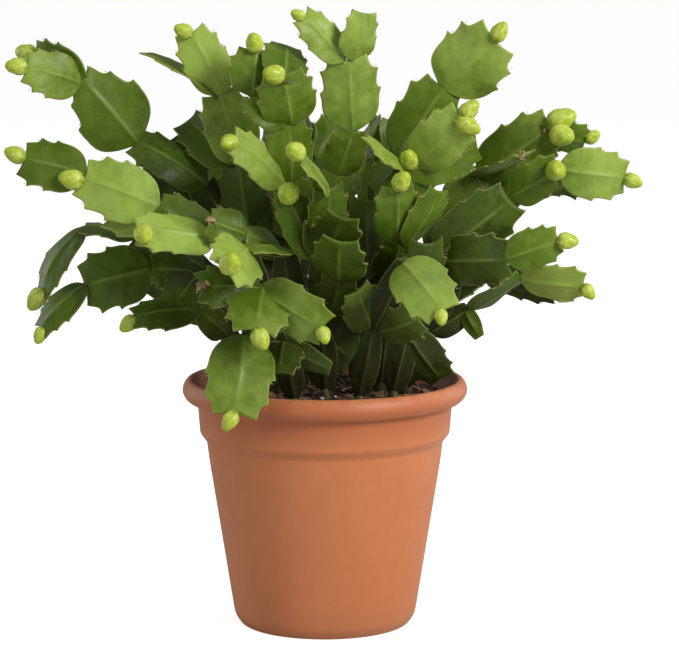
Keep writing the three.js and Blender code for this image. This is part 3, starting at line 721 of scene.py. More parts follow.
@dataclass(frozen=True)
class LeafFinish:
    """The skin of a segment: satin green, lighter when young and darker where its tone holds painted shade,
    with a pale rib and margin and brown teeth.

    A share says how far its colour goes where its mask is full.
    """

    old_and_shaded: Colour = srgb(26, 40, 4)
    grown: Colour = srgb(82, 106, 20)
    young: Colour = srgb(148, 172, 74)
    rib: Colour = srgb(146, 170, 78)
    margin: Colour = srgb(164, 174, 92)
    wood: Colour = srgb(56, 46, 26)
    tooth: Colour = srgb(120, 84, 44)
    clouds: tuple = (38.0, 210.0)
    grain: tuple = (1500.0, 0.35, 260.0, 0.8)
    bump: tuple = (0.35, 0.0004)
    rib_width: float = 0.11
    mottling: float = 0.22
    rib_share: float = 0.32
    vein_share: float = 0.03
    margin_share: float = 0.45
    tooth_share: float = 0.65
    vein_relief: float = 0.12
    roughness: tuple = (0.34, 0.48)
    wood_roughness: float = 0.3

    def make(self, effects: Effects) -> Material:
        """Makes the material.

        Args:
            effects: the shared groups.

        Returns:
            The material.
        """
        coat = Coat("cactus_leaf", effects, self.clouds, self.grain)
        graph = coat.graph
        uv = graph.add("ShaderNodeUVMap", uv_map="blade").outputs[0]
        flat = graph.add("ShaderNodeSeparateXYZ", {0: uv})
        across = graph.minus(graph.times(flat.outputs[0], 2.0), 1.0)
        along = graph.times(flat.outputs[1], BLADE_MAP)
        lines = graph.group(effects.blade_lines, Across=across, Along=along, Rib_Width=self.rib_width)
        rib, veins, margin = lines.outputs
        # The tone mark is partly age and partly painted shade, so the darkest colour stands for old and
        # shaded skin.
        age_and_shade = graph.plus(graph.mark("tone"), graph.times(graph.minus(coat.clouds, 0.5), self.mottling))
        colour = graph.blend(graph.band(age_and_shade, 0.0, 0.5), self.old_and_shaded, self.grown)
        colour = graph.blend(graph.band(age_and_shade, 0.45, 1.0), colour, self.young)
        colour = graph.tint(colour, rib, self.rib_share, self.rib)
        colour = graph.tint(colour, veins, self.vein_share, self.rib)
        colour = graph.tint(colour, margin, self.margin_share, self.margin)
        patchy = graph.band(coat.small, 0.0, 1.0, 0.65, 1.0)
        woody = graph.math("MULTIPLY", graph.mark("wood"), patchy, clamp=True)
        colour = graph.blend(woody, colour, self.wood)
        colour = graph.tint(colour, graph.mark("spot"), self.tooth_share, self.tooth)
        rough = graph.plus(graph.band(coat.small, 0.0, 1.0, *self.roughness),
                           graph.times(woody, self.wood_roughness))
        relief = graph.plus(graph.times(veins, self.vein_relief), coat.grain)
        return coat.finish(colour, rough, relief, self.bump, Subsurface_Weight=0.1,
                           Subsurface_Radius=(0.6, 1.0, 0.25), Subsurface_Scale=0.0015,
                           Specular_IOR_Level=0.24)


@dataclass(frozen=True)
class BudFinish:
    """A bud: yellow-green, with paler edges on its scales and a greener foot."""

    foot: Colour = srgb(122, 148, 32)
    body: Colour = srgb(170, 188, 48)
    edge: Colour = srgb(208, 216, 116)
    clouds: tuple = (160.0, 700.0)
    grain: tuple = (2200.0, 0.3, 700.0, 0.5)
    bump: tuple = (0.3, 0.0003)
    foot_end: float = 0.42
    edge_share: float = 0.85
    mottling: float = 0.25
    roughness: tuple = (0.34, 0.52)

    def make(self, effects: Effects) -> Material:
        """Makes the material.

        Args:
            effects: the shared groups.

        Returns:
            The material.
        """
        coat = Coat("cactus_bud", effects, self.clouds, self.grain)
        graph = coat.graph
        colour = graph.blend(graph.band(graph.mark("tone"), 0.0, self.foot_end), self.foot, self.body)
        colour = graph.tint(colour, graph.mark("spot"), self.edge_share, self.edge)
        colour = graph.tint(colour, coat.clouds, self.mottling, self.foot)
        rough = graph.band(coat.small, 0.0, 1.0, *self.roughness)
        return coat.finish(colour, rough, coat.grain, self.bump, Subsurface_Weight=0.25,
                           Subsurface_Radius=(0.9, 1.0, 0.3), Subsurface_Scale=0.002)


@dataclass(frozen=True)
class DryFinish:
    """Something dry and rough in two colours: withered flowers, bristles, peat, bark, grit or roots.

    Its small pieces differ in tone by as much as by_piece says. Its pores and its swell have a scale, as a
    multiple of small_scale, and a depth.
    """

    name: str
    dark: Colour
    light: Colour
    roughness: float = 0.9
    large_scale: float = 200.0
    small_scale: float = 900.0
    depth: float = 0.0006
    by_piece: float = 0.5
    pores: tuple = (1.6, 0.6)
    swell: tuple = (0.5, 0.8)
    smoother: float = 0.15
    rougher: float = 0.08
    bump_strength: float = 0.7

    def make(self, effects: Effects) -> Material:
        """Makes the material.

        Args:
            effects: the shared groups.

        Returns:
            The material.
        """
        (pores, pore_depth), (swell, swell_depth) = self.pores, self.swell
        grain = (self.small_scale * pores, pore_depth, self.small_scale * swell, swell_depth)
        coat = Coat(self.name, effects, (self.large_scale, self.small_scale), grain)
        graph = coat.graph
        own = graph.times(graph.minus(graph.mark("tone"), 0.5), self.by_piece)
        colour = graph.blend(graph.math("ADD", coat.clouds, own, clamp=True), self.dark, self.light)
        rough = graph.band(coat.small, 0.0, 1.0, self.roughness - self.smoother,
                           min(1.0, self.roughness + self.rougher))
        return coat.finish(colour, rough, coat.grain, (self.bump_strength, self.depth))


@dataclass(frozen=True)
class PotFinish:
    """Moulded terracotta-coloured plastic: matt, faintly clouded, a little worn and dusty at its edges, with
    painted shade that darkens its neck and its rim.

    Heights are in millimetres. A share says how far its colour goes where its mask is full.
    """

    body: Colour = srgb(200, 122, 76)
    # The deep colour is both the mottling's darker tone and the painted shade on the neck and the rim.
    deep: Colour = srgb(182, 104, 62)
    worn: Colour = srgb(216, 150, 108)
    dust: Colour = srgb(150, 106, 76)
    clouds: tuple = (14.0, 120.0)
    grain: tuple = (1400.0, 0.25, 90.0, 0.9)
    bump: tuple = (0.25, 0.0003)
    # Painted shade: the heights between which the wall darkens to the deep colour, which it keeps above them.
    painted_shade_collar: tuple = (100, 116)
    crest: float = 5
    foot: float = 7
    dusty: float = 22
    mottling: float = 0.5
    worn_share: float = 0.3
    dust_share: float = 0.3
    roughness: tuple = (0.45, 0.57)

    def make(self, effects: Effects) -> Material:
        """Makes the material.

        Args:
            effects: the shared groups.

        Returns:
            The material.
        """
        coat = Coat("pot_plastic", effects, self.clouds, self.grain)
        graph = coat.graph
        height = graph.add("ShaderNodeSeparateXYZ", {0: graph.place()}).outputs[2]
        low, high = self.painted_shade_collar
        colour = graph.tint(self.body, coat.clouds, self.mottling, self.deep)
        # Painted shade: the wall darkens to the deep colour over the neck, and fully on the rim above it.
        colour = graph.blend(graph.band(height, low * MM, high * MM), colour, self.deep)
        crest = graph.band(height, (RIM_TOP - self.crest) * MM, RIM_TOP * MM)
        foot = graph.band(height, self.foot * MM, 0.0)
        rubbed = graph.times(graph.math("MAXIMUM", crest, foot), coat.small)
        colour = graph.tint(colour, rubbed, self.worn_share, self.worn)
        dusty = graph.times(graph.band(height, self.dusty * MM, 0.0), coat.large)
        colour = graph.tint(colour, dusty, self.dust_share, self.dust)
        rough = graph.band(coat.clouds, 0.0, 1.0, *self.roughness)
        return coat.finish(colour, rough, coat.grain, self.bump, Specular_IOR_Level=0.4, Sheen_Weight=0.1,
                           Sheen_Roughness=0.5, Sheen_Tint=(1.0, 0.84, 0.7, 1.0))


def flow(points: Sequence[Sequence[float]], steps: int) -> np.ndarray:
    """Draws a smooth line through points, which turns sharply only at those that say so.

    Args:
        points: how far along, how far out, and True where the line turns sharply.
        steps: how many short pieces lie between two points.

    Returns:
        One row for each point of the line: along, out, and 1 at a sharp turn.
    """
    rows, runs, run = [], [], []
    points = [(*point, False)[:3] for point in points]
    for point in points:
        run.append(point)
        if point[2]:
            runs.append(run)
            run = [point]
    if len(run) > 1:
        runs.append(run)
    for run in runs:
        place = np.array([point[:2] for point in run])
        place = np.vstack([2 * place[0] - place[1], place, 2 * place[-1] - place[-2]])
        for i in range(1, len(place) - 2):
            a, b, c, d = place[i - 1:i + 3]
            for step in range(steps):
                s = step / steps
                at = 0.5 * (2 * b + (c - a) * s + (2 * a - 5 * b + 4 * c - d) * s ** 2
                            + (3 * b - a - 3 * c + d) * s ** 3)
                rows.append((*at, float(step == 0 and run[i - 1][2])))
    rows.append((*points[-1][:2], 1.0))
    return np.array(rows)


def two_sided(rows: int, columns: int) -> list[tuple[int, int, int, int]]:
    """The faces of a closed sheet whose two sides share the points round their edge.

    Args:
        rows: how many rows of points a side has.
        columns: how many points a row has.

    Returns:
        The corners of each face. The lower side's inner points are numbered after all of the upper side's.
    """
    upper = np.arange(rows * columns).reshape(rows, columns)
    lower = upper.copy()
    inner = (rows - 2, columns - 2)
    lower[1:-1, 1:-1] = rows * columns + np.arange(inner[0] * inner[1]).reshape(inner)
    faces = []
    for i in range(rows - 1):
        for j in range(columns - 1):
            faces.append((upper[i, j], upper[i, j + 1], upper[i + 1, j + 1], upper[i + 1, j]))
            faces.append((lower[i, j], lower[i + 1, j], lower[i + 1, j + 1], lower[i, j + 1]))
    return faces


def tube(numbers: np.ndarray) -> list[tuple[int, ...]]:
    """The faces round a tube, which ends in a point. That point's number follows the others.

    Args:
        numbers: the numbers of the tube's points, one row for each ring.

    Returns:
        The corners of each face. The first ring is left open.
    """
    onward = np.roll(numbers, -1, axis=1)
    rows = zip(numbers[:-1], onward[:-1], onward[1:], numbers[1:])
    faces = [face for row in rows for face in zip(*row)]
    return faces + [(one, other, numbers[-1, -1] + 1) for one, other in zip(numbers[-1], onward[-1])]


@dataclass(frozen=True)
class Unevenness:
    """How far a segment strays from the regular one.

    A wander is along the margin and a swell across it, as shares of its length and of half its width. A drift
    lifts or lowers both faces together, in millimetres.
    """

    wander: float = 0.014
    wander_waves: float = 1.3
    swell: float = 0.025
    swell_waves: float = 0.9
    narrowing: float = 0.015
    shortest_tooth: float = 0.94
    horn_setback: float = 0.4
    drift: float = 0.25
    small_drift: float = 0.25


@dataclass(frozen=True)
class Relief:
    """The low forms on a segment's faces, in millimetres: a rib between two furrows, and soft pillows.

    The pillows lie between the side veins, and their pitch, sweep and start are shares of the segment's
    length. The rounding of its edge is a share of its thickness there.
    """

    rib: float = 0.42
    rib_reach: float = 1.0
    furrow: float = 0.16
    furrow_place: float = 2.6
    furrow_reach: float = 1.3
    pillow: float = 0.12
    pillow_pitch: float = 0.28
    pillow_sweep: float = 0.3
    pillow_start: float = 0.2
    rounding: float = 0.62
    least_rounding: float = 0.3
    spot_reach: float = 0.9


@dataclass(frozen=True, eq=False)
class Grid:
    """Where a segment's points lie between its margins, one row for each row of the margins.

    Shares go from -1 at the left margin to 1 at the right one. t is how far along, out how far out as a share
    of half the width, and edge_out is out at the nearer margin.
    """

    share: np.ndarray
    t: np.ndarray
    out: np.ndarray
    edge_out: np.ndarray

    @classmethod
    def between(cls, left: np.ndarray, right: np.ndarray) -> "Grid":
        """The grid between two margins.

        Args:
            left: the left margin's rows.
            right: the right margin's rows.

        Returns:
            The grid, with its last row bowed towards the middle of the segment's end.
        """
        share = np.array([-value for value in ACROSS[:0:-1]] + list(ACROSS))[None, :]
        edge_t = np.where(share < 0, left[:, :1], right[:, :1])
        edge_out = np.where(share < 0, left[:, 1:2], right[:, 1:2])
        centre_t = (left[:, :1] + right[:, :1]) / 2
        dip = (centre_t[-1] - END_MIDDLE) * smooth(centre_t, 0.8, centre_t[-1])
        near = np.abs(share)
        t = centre_t + (edge_t - centre_t) * near - dip * (1 - near ** END_BOW)
        return cls(share, t, edge_out * share, edge_out)


@dataclass(eq=False)
class Grown:
    """What grows on a stem, from a segment's end to its own tip.

    It starts in its socket there. Without one it starts from its foot, a little way into that segment.
    """

    base: np.ndarray
    tip: np.ndarray
    foot: np.ndarray | None = field(default=None, kw_only=True)
    socket: np.ndarray | None = field(default=None, kw_only=True)

    def start(self, sunk: float) -> np.ndarray:
        """Finds where it starts.

        Args:
            sunk: how deep it is sunk without a socket.

        Returns:
            The point.
        """
        if self.socket is not None:
            return self.socket
        foot = self.base if self.foot is None else self.foot
        return foot - unit(self.tip - foot) * sunk


@dataclass(eq=False)
class Blade(Grown):
    """One flat segment, in the part's own shape with finer margins, a rib and a rounded edge."""

    facing: np.ndarray
    width: float
    turn: float
    arch: float
    wave: float
    tone: float = 0.4
    wood: float = 0.0
    number: int = 0
    rib_thickness: float = RIB_THICKNESS
    margin_thickness: float = MARGIN_THICKNESS
    finish: Finish = Finish.LEAF
    taper: float = 0.0
    spots: list[tuple[np.ndarray, np.ndarray]] = field(default_factory=list)
    uneven: Unevenness = Unevenness()
    relief: Relief = Relief()

    def lie(self) -> Lie:
        """How the segment lies."""
        return Lie.between(self.start(SUNK), self.tip, self.facing, self.turn)

    def middle(self, lie: Lie, t: np.ndarray, out: np.ndarray, lift: np.ndarray | float = 0.0) -> np.ndarray:
        """The points midway between the two faces, or lifted from there.

        Args:
            lie: how the segment lies.
            t: how far along, as a share of its length.
            out: how far out, as a share of half its width.
            lift: millimetres out of its face.

        Returns:
            The points.
        """
        half = self.width / 2
        t, out = np.asarray(t, float), np.asarray(out, float)
        fold = FOLD * np.abs(out) + (1 - FOLD) * out * out
        bend = self.arch * lie.length * 4 * t * (1 - t) - CUP * half * fold
        ripple = WAVE * half * out * sine(WAVES * t + self.wave)
        return lie.at(t * lie.length, out * half, bend + ripple + lift)

    def sockets(self, lie: Lie, growing: int) -> list[np.ndarray]:
        """Where what grows straight on from its cut-off end starts.

        Args:
            lie: how the segment lies.
            growing: how many segments and buds grow on.

        Returns:
            The middles of their sockets, from its right to its left.
        """
        half = self.width / 2
        pitch = min(2 * NECK, SOCKET_SHARE * half / max(1, growing))
        seams = [(growing / 2 - i) * pitch / half for i in range(growing + 1)]
        return [self.middle(lie, [END, END], [one, other]).mean(axis=0) for one, other in pairwise(seams)]

    def margins(self, lie: Lie, dice: random.Random, steps: int) -> list[np.ndarray]:
        """Its margins from its neck to its end, each a little different.

        Args:
            lie: how the segment lies.
            dice: its own numbers.
            steps: how many rows lie between two points of the margin.

        Returns:
            The left and the right margin, with the same number of rows.
        """
        half = self.width / 2
        uneven = self.uneven
        shape = TOOTHED if self.width >= PLAIN_WIDTH else PLAIN
        line = flow([(0.0, NECK / half), *shape], steps)
        line[:, 1] *= 1 - self.taper * np.maximum(0, line[:, 0] - TAPER_START) / (1 - TAPER_START)
        last = line[-1]
        closing = [(last[0] - back, last[1] * (1 + back), 0.0) for back in END_ROUNDING]
        line = np.vstack([line[:-1], closing, last])
        sides = []
        for _ in range(2):
            side = line.copy()
            wander, swell = dice.uniform(0, 1), dice.uniform(0, 1)
            fade = smooth(side[:, 0], 0.0, 0.2) * (1 - smooth(side[:, 0], 0.9, 1.0))
            side[:, 0] += uneven.wander * fade * sine(uneven.wander_waves * side[:, 0] + wander)
            swelling = uneven.swell * sine(uneven.swell_waves * side[:, 0] + swell)
            side[:, 1] *= 1 + fade * (swelling - uneven.narrowing)
            for row in np.flatnonzero(side[:-1, 2]):
                side[row, 1] *= dice.uniform(uneven.shortest_tooth, 1.0)
            beyond = np.maximum(0, side[:, 0] - HORN_START)
            side[:, 0] -= beyond * dice.uniform(0.0, uneven.horn_setback)
            sides.append(side)
        neck = np.array([[-1.4 / lie.length, 0.6 * NECK / half, 0.0]])
        return [np.vstack([neck, side]) for side in sides]

    def lift(self, lie: Lie, grid: Grid) -> np.ndarray:
        """How far its faces stand from its middle: its thickness, rounded off at its edge, and its relief.

        Args:
            lie: how the segment lies.
            grid: where its points lie.

        Returns:
            Millimetres for each point of the grid.
        """
        relief, half = self.relief, self.width / 2
        t, out, near = grid.t, grid.out, np.abs(grid.share)
        thinning = self.margin_thickness - self.rib_thickness
        thickness = self.rib_thickness + thinning * np.minimum(1, np.abs(out))
        rounding = np.maximum(relief.least_rounding, thickness * relief.rounding)
        lift = thickness / 2
        for gap in ((1 - near) * grid.edge_out * half, (t[-1:] - t) * lie.length):
            lift = lift * np.sqrt(np.clip(1 - (1 - np.minimum(1, np.abs(gap) / rounding)) ** 2, 0, 1))
        away = np.abs(out) * half
        ridge = relief.rib * np.exp(-(away / relief.rib_reach) ** 2) \
            - relief.furrow * np.exp(-((away - relief.furrow_place) / relief.furrow_reach) ** 2)
        swept = (t - relief.pillow_sweep * near - relief.pillow_start) / relief.pillow_pitch
        pillow = relief.pillow * np.cos(2 * math.pi * swept) * 4 * near * (1 - near)
        fleshy = self.rib_thickness / RIB_THICKNESS
        lift = lift + (ridge * smooth(t, 1.0, 0.6) - pillow) * smooth(lift, 0.0, 0.4) \
            * smooth(t, 0.0, 0.12) * fleshy
        lift[0] = 0
        return lift

    def drift(self, grid: Grid, dice: random.Random) -> np.ndarray:
        """How far both faces bulge or sink together.

        Args:
            grid: where its points lie.
            dice: its own numbers.

        Returns:
            Millimetres for each point of the grid.
        """
        t, out = grid.t, grid.out
        phases = [dice.uniform(0, 1) for _ in range(4)]
        large = sine(1.1 * t + 0.4 * out + phases[0]) * sine(0.5 * out + phases[1])
        small = sine(2.3 * t + phases[2]) * out * sine(0.9 * out + phases[3])
        fade = smooth(t, 0.05, 0.3) * (1 - smooth(t, 0.9, 1.0))
        fleshy = self.rib_thickness / RIB_THICKNESS
        return self.uneven.drift * (large + self.uneven.small_drift * small) * fade * fleshy

    def teeth(self, lie: Lie, grid: Grid, margins: Sequence[np.ndarray]) -> np.ndarray:
        """Finds its teeth and horns, and notes the areoles beside them.

        Args:
            lie: how the segment lies.
            grid: where its points lie.
            margins: its left and right margins.

        Returns:
            How near each point of the grid is to a tooth's point, from 0 to 1.
        """
        half = self.width / 2
        green = self.finish is Finish.LEAF
        spot = np.zeros(grid.t.shape)
        for side, sign in zip(margins, (-1, 1)):
            sharp = side[side[:, 2] > 0]
            for row in sharp:
                gap = np.hypot((grid.t - row[0] - 0.01) * lie.length, (grid.out - sign * row[1]) * half)
                spot = np.maximum(spot, np.exp(-(gap / self.relief.spot_reach) ** 2))
            if green and self.width >= PLAIN_WIDTH:
                for row in sharp[:-1]:
                    self.note_areole(lie, row[0] + AREOLE_PAST, sign * (row[1] - AREOLE_IN), sign)
        if green:
            self.note_areole(lie, END - 0.005, 0.0, 0)
        return spot

    def skin(self, steps: int) -> Skin:
        """Makes its closed skin and notes its areoles.

        Args:
            steps: how many rows lie between two points of its margin.

        Returns:
            The skin.
        """
        lie = self.lie()
        dice = random.Random(self.number)
        margins = self.margins(lie, dice, steps)
        grid = Grid.between(*margins)
        t, lift, drift = grid.t, self.lift(lie, grid), self.drift(grid, dice)
        upper, lower = (self.middle(lie, t, grid.out, drift + side) for side in (lift, -lift))
        spot = self.teeth(lie, grid, margins)
        wood = self.wood * (1 - WOOD_FADE * smooth(t, 0.3, 1.0)) + NECK_WOOD * (1 - smooth(t, 0.0, 0.05))
        tone = self.tone + TONE_RISE * (t - 0.5)
        marks = np.stack([tone, np.clip(wood, 0, 1), spot], axis=-1)
        uv = np.stack([0.5 + 0.5 * np.broadcast_to(grid.share, t.shape), t / BLADE_MAP], axis=-1)
        inner = (slice(1, -1), slice(1, -1))
        points, marks, uv = (
            np.concatenate([whole.reshape(-1, wide), part[inner].reshape(-1, wide)])
            for whole, part, wide in ((upper, lower, 3), (marks, marks, 3), (uv, uv, 2)))
        return Skin(points, two_sided(*t.shape), marks, uv, self.finish)

    def note_areole(self, lie: Lie, t: float, out: float, sign: int) -> None:
        """Notes where bristles grow and which way they point."""
        aim = lie.side * sign + lie.along * (AREOLE_LEAN if sign else 1.0)
        self.spots.append((self.middle(lie, t, out), unit(aim)))


@dataclass(eq=False)
class Bud(Grown):
    """One pointed bud of overlapping scales.

    Its tiers end at shares of its length, and each has the same number of scales, which lie over the tier
    above by a step. A scale begins and its edge ends between two angles in from its outline. Its swelling is
    how wide it is at shares of its length, up to its belly.
    """

    number: int = 0
    facing: tuple = (0.3, -0.2, 1.0)
    sides: int = 14
    rings: int = 10
    tiers: tuple = (0.34, 0.52, 0.7, 0.88)
    scales: int = 3
    scale_width: float = 1.25
    scale_roundness: float = 2.4
    onset: tuple = (-0.03, 0.16)
    edge: tuple = (0.1, 0.34)
    step: float = 0.085
    most_layers: float = 2.5
    core: float = 0.93
    skin_depth: float = 0.06
    belly: float = 0.44
    bluntness: float = 2.2
    swelling: tuple = ((0, 0.06, 0.14, 0.26, 0.4), (0.34, 0.56, 0.8, 0.95, 1.0))
    lump: float = 0.03
    plump: float = 1.07
    reach: float = 0.93

    def layers(self, angle: np.ndarray, t: np.ndarray, turn: float) -> tuple[np.ndarray, np.ndarray]:
        """How the scales lie over one another.

        Args:
            angle: the angle round the bud of each column of points.
            t: how far along each row lies.
            turn: the angle that the first scale starts from.

        Returns:
            How many scales lie at each point, and how near it is to a scale's edge.
        """
        height = np.zeros((len(t), angle.shape[1]))
        rim = np.zeros_like(height)
        for tier, end in enumerate(self.tiers):
            for scale in range(self.scales):
                middle = turn + (scale + 0.5 * tier) / self.scales * 2 * math.pi
                off = np.abs((angle - middle + math.pi) % (2 * math.pi) - math.pi)
                wide = self.scale_width * np.sqrt(np.clip(1 - (t / end) ** self.scale_roundness, 0, 1))
                inside = smooth(wide - off, *self.onset) * (t < end)
                height += inside
                rim = np.maximum(rim, inside * (1 - smooth(wide - off, *self.edge)))
        return height, rim

    def skin(self, steps: int) -> Skin:
        """Makes its closed skin.

        Args:
            steps: how fine it is.

        Returns:
            The skin.
        """
        lie = Lie.between(self.start(BUD_SUNK), self.tip, np.array(self.facing))
        length = self.reach * lie.length
        radius = self.plump * BUD_FATNESS * float(np.linalg.norm(self.tip - self.base))
        around, along = self.sides * steps, self.rings * steps
        turn = random.Random(self.number).uniform(0, 2 * math.pi)
        angle = np.arange(around)[None, :] / around * 2 * math.pi
        t = np.sin(np.arange(along + 1)[:, None] / along * math.pi / 2)
        past = np.clip((t - self.belly) / (1 - self.belly), 0, 1)
        profile = np.where(t > self.belly, np.sqrt(1 - past ** self.bluntness), np.interp(t, *self.swelling))
        height, rim = self.layers(angle, t, turn)
        lump = 1 + self.lump * np.sin(3 * angle + turn) * np.sin(math.pi * t)
        out = radius * profile * lump * (self.core + self.step * np.minimum(height, self.most_layers)
                                         - self.skin_depth)
        points = lie.at(t * length + 0 * angle, -out * np.sin(angle), out * np.cos(angle))
        numbers = np.arange(along * around).reshape(along, around)
        faces = [*tube(numbers), tuple(numbers[0, ::-1])]
        tone = np.broadcast_to(t, height.shape)
        marks = np.stack([tone, np.zeros_like(height), rim], axis=-1)
        uv = np.stack([np.broadcast_to(angle / (2 * math.pi), height.shape), tone], axis=-1)
        return Skin(
            np.vstack([points[:-1].reshape(-1, 3), lie.at(length, 0, 0)]), faces,
            np.vstack([marks[:-1].reshape(-1, 3), [[1.0, 0.0, 0.3]]]),
            np.vstack([uv[:-1].reshape(-1, 2), [[0.5, 1.0]]]), Finish.BUD)


def rooted_end(x: float, y: float) -> np.ndarray:
    """Where a stem leaves the mix."""
    return np.array([x, y, MIX_TOP + PEG_HEIGHT])


def sighted(across: float, up: float, depth: float) -> np.ndarray:
    """The point at a depth on the front eye's line of sight."""
    return EYE + (np.array([across, 0.0, up]) - EYE) * (1 - depth / EYE[1])


def around_axis(radius: float, angle: float, up: float) -> np.ndarray:
    """A point round the pot's axis: how far out, the angle round it in degrees, and how far up."""
    turn = math.radians(angle)
    return np.array([radius * math.cos(turn), radius * math.sin(turn), up])


@dataclass(eq=False)
class RearGrowth:
    """What one rear stem has grown so far. Its numbers are drawn in the order that the part's source has."""

    number: int
    angle: float
    dice: SeededRandom
    joints: int
    blades: list[Blade] = field(default_factory=list)
    buds: list[Bud] = field(default_factory=list)

    def grow(self, base: np.ndarray, tip: np.ndarray, width: float) -> np.ndarray:
        """Grows one segment.

        Args:
            base: where it starts.
            tip: where it ends.
            width: its width.

        Returns:
            Its tip.
        """
        facing = unit(around_axis(1, self.angle, REAR_FACING_RISE))
        turn, wave = self.dice.sway(REAR_TURN), self.dice.sway(1)
        grown = len(self.blades)
        # Darker low down and lighter higher up: partly older growth, partly painted shade.
        tone = REAR_TONE + REAR_TONE_AND_SHADE_RISE * (tip[2] - MIX_TOP) / REAR_TONE_HEIGHT \
            + REAR_TONE_SPREAD * math.sin(7.0 * grown + self.number)
        wood = REAR_WOOD[0 if not grown else (1 if grown < self.joints else 2)]
        self.blades.append(Blade(base, tip, facing, width, turn, REAR_ARCH, wave, tone, wood,
                                 STEM_NUMBERS * self.number + grown))
        return tip

    def maybe_bud(self, base: np.ndarray, tip: np.ndarray, budding: bool) -> None:
        """Ends a segment in a bud, or not.

        Args:
            base: where the segment starts.
            tip: where it ends.
            budding: whether its bough has buds at all.
        """
        if self.dice.sway(0.5) + 0.5 < REAR_BUD_CHANCE and budding:
            self.buds.append(Bud(tip, tip + unit(tip - base) * REAR_BUD,
                                 STEM_NUMBERS * self.number + BUD_NUMBERS + len(self.buds)))

    def bough(self, fork: np.ndarray, radius: float, up: float, order: int, measures: dict) -> None:
        """Grows one bough with its forks.

        Args:
            fork: where it starts.
            radius: how far out that is.
            up: how far up that is.
            order: its place among the stem's boughs.
            measures: its reach, crest, fall and swing, its steps, its forks and whether it has buds.
        """
        reach, crest, fall, swing, steps, forks, budding = measures.values()

        def place(share: float, turned: float) -> np.ndarray:
            """Finds a point of the bough.

            Args:
                share: how far along the bough it is, as a share.
                turned: how many degrees to its side.

            Returns:
                The point.
            """
            rise = (crest - up) * math.sin(share * math.pi / 2) - fall * share ** 4
            angle = self.angle + swing * share + turned
            return around_axis(radius + (reach - radius) * share, angle, up + rise)

        base = fork
        for step in range(1, steps + 1):
            forked = step > steps - forks
            side = REAR_FORK_ANGLE if (order + step) % 2 else -REAR_FORK_ANGLE
            if forked:
                width = REAR_WIDTH + self.dice.sway(REAR_WIDTH_SPREAD)
                tip = place(step / steps - REAR_FORK_SETBACK, side)
                self.maybe_bud(base, self.grow(base, tip, width), budding)
            turned = self.dice.sway(REAR_SWAY) - (side * REAR_FORK_LEAN if forked else 0)
            tip = self.grow(base, place(step / steps, turned), REAR_WIDTH + self.dice.sway(REAR_WIDTH_SPREAD))
            if step == steps:
                self.maybe_bud(base, tip, budding)
            base = tip


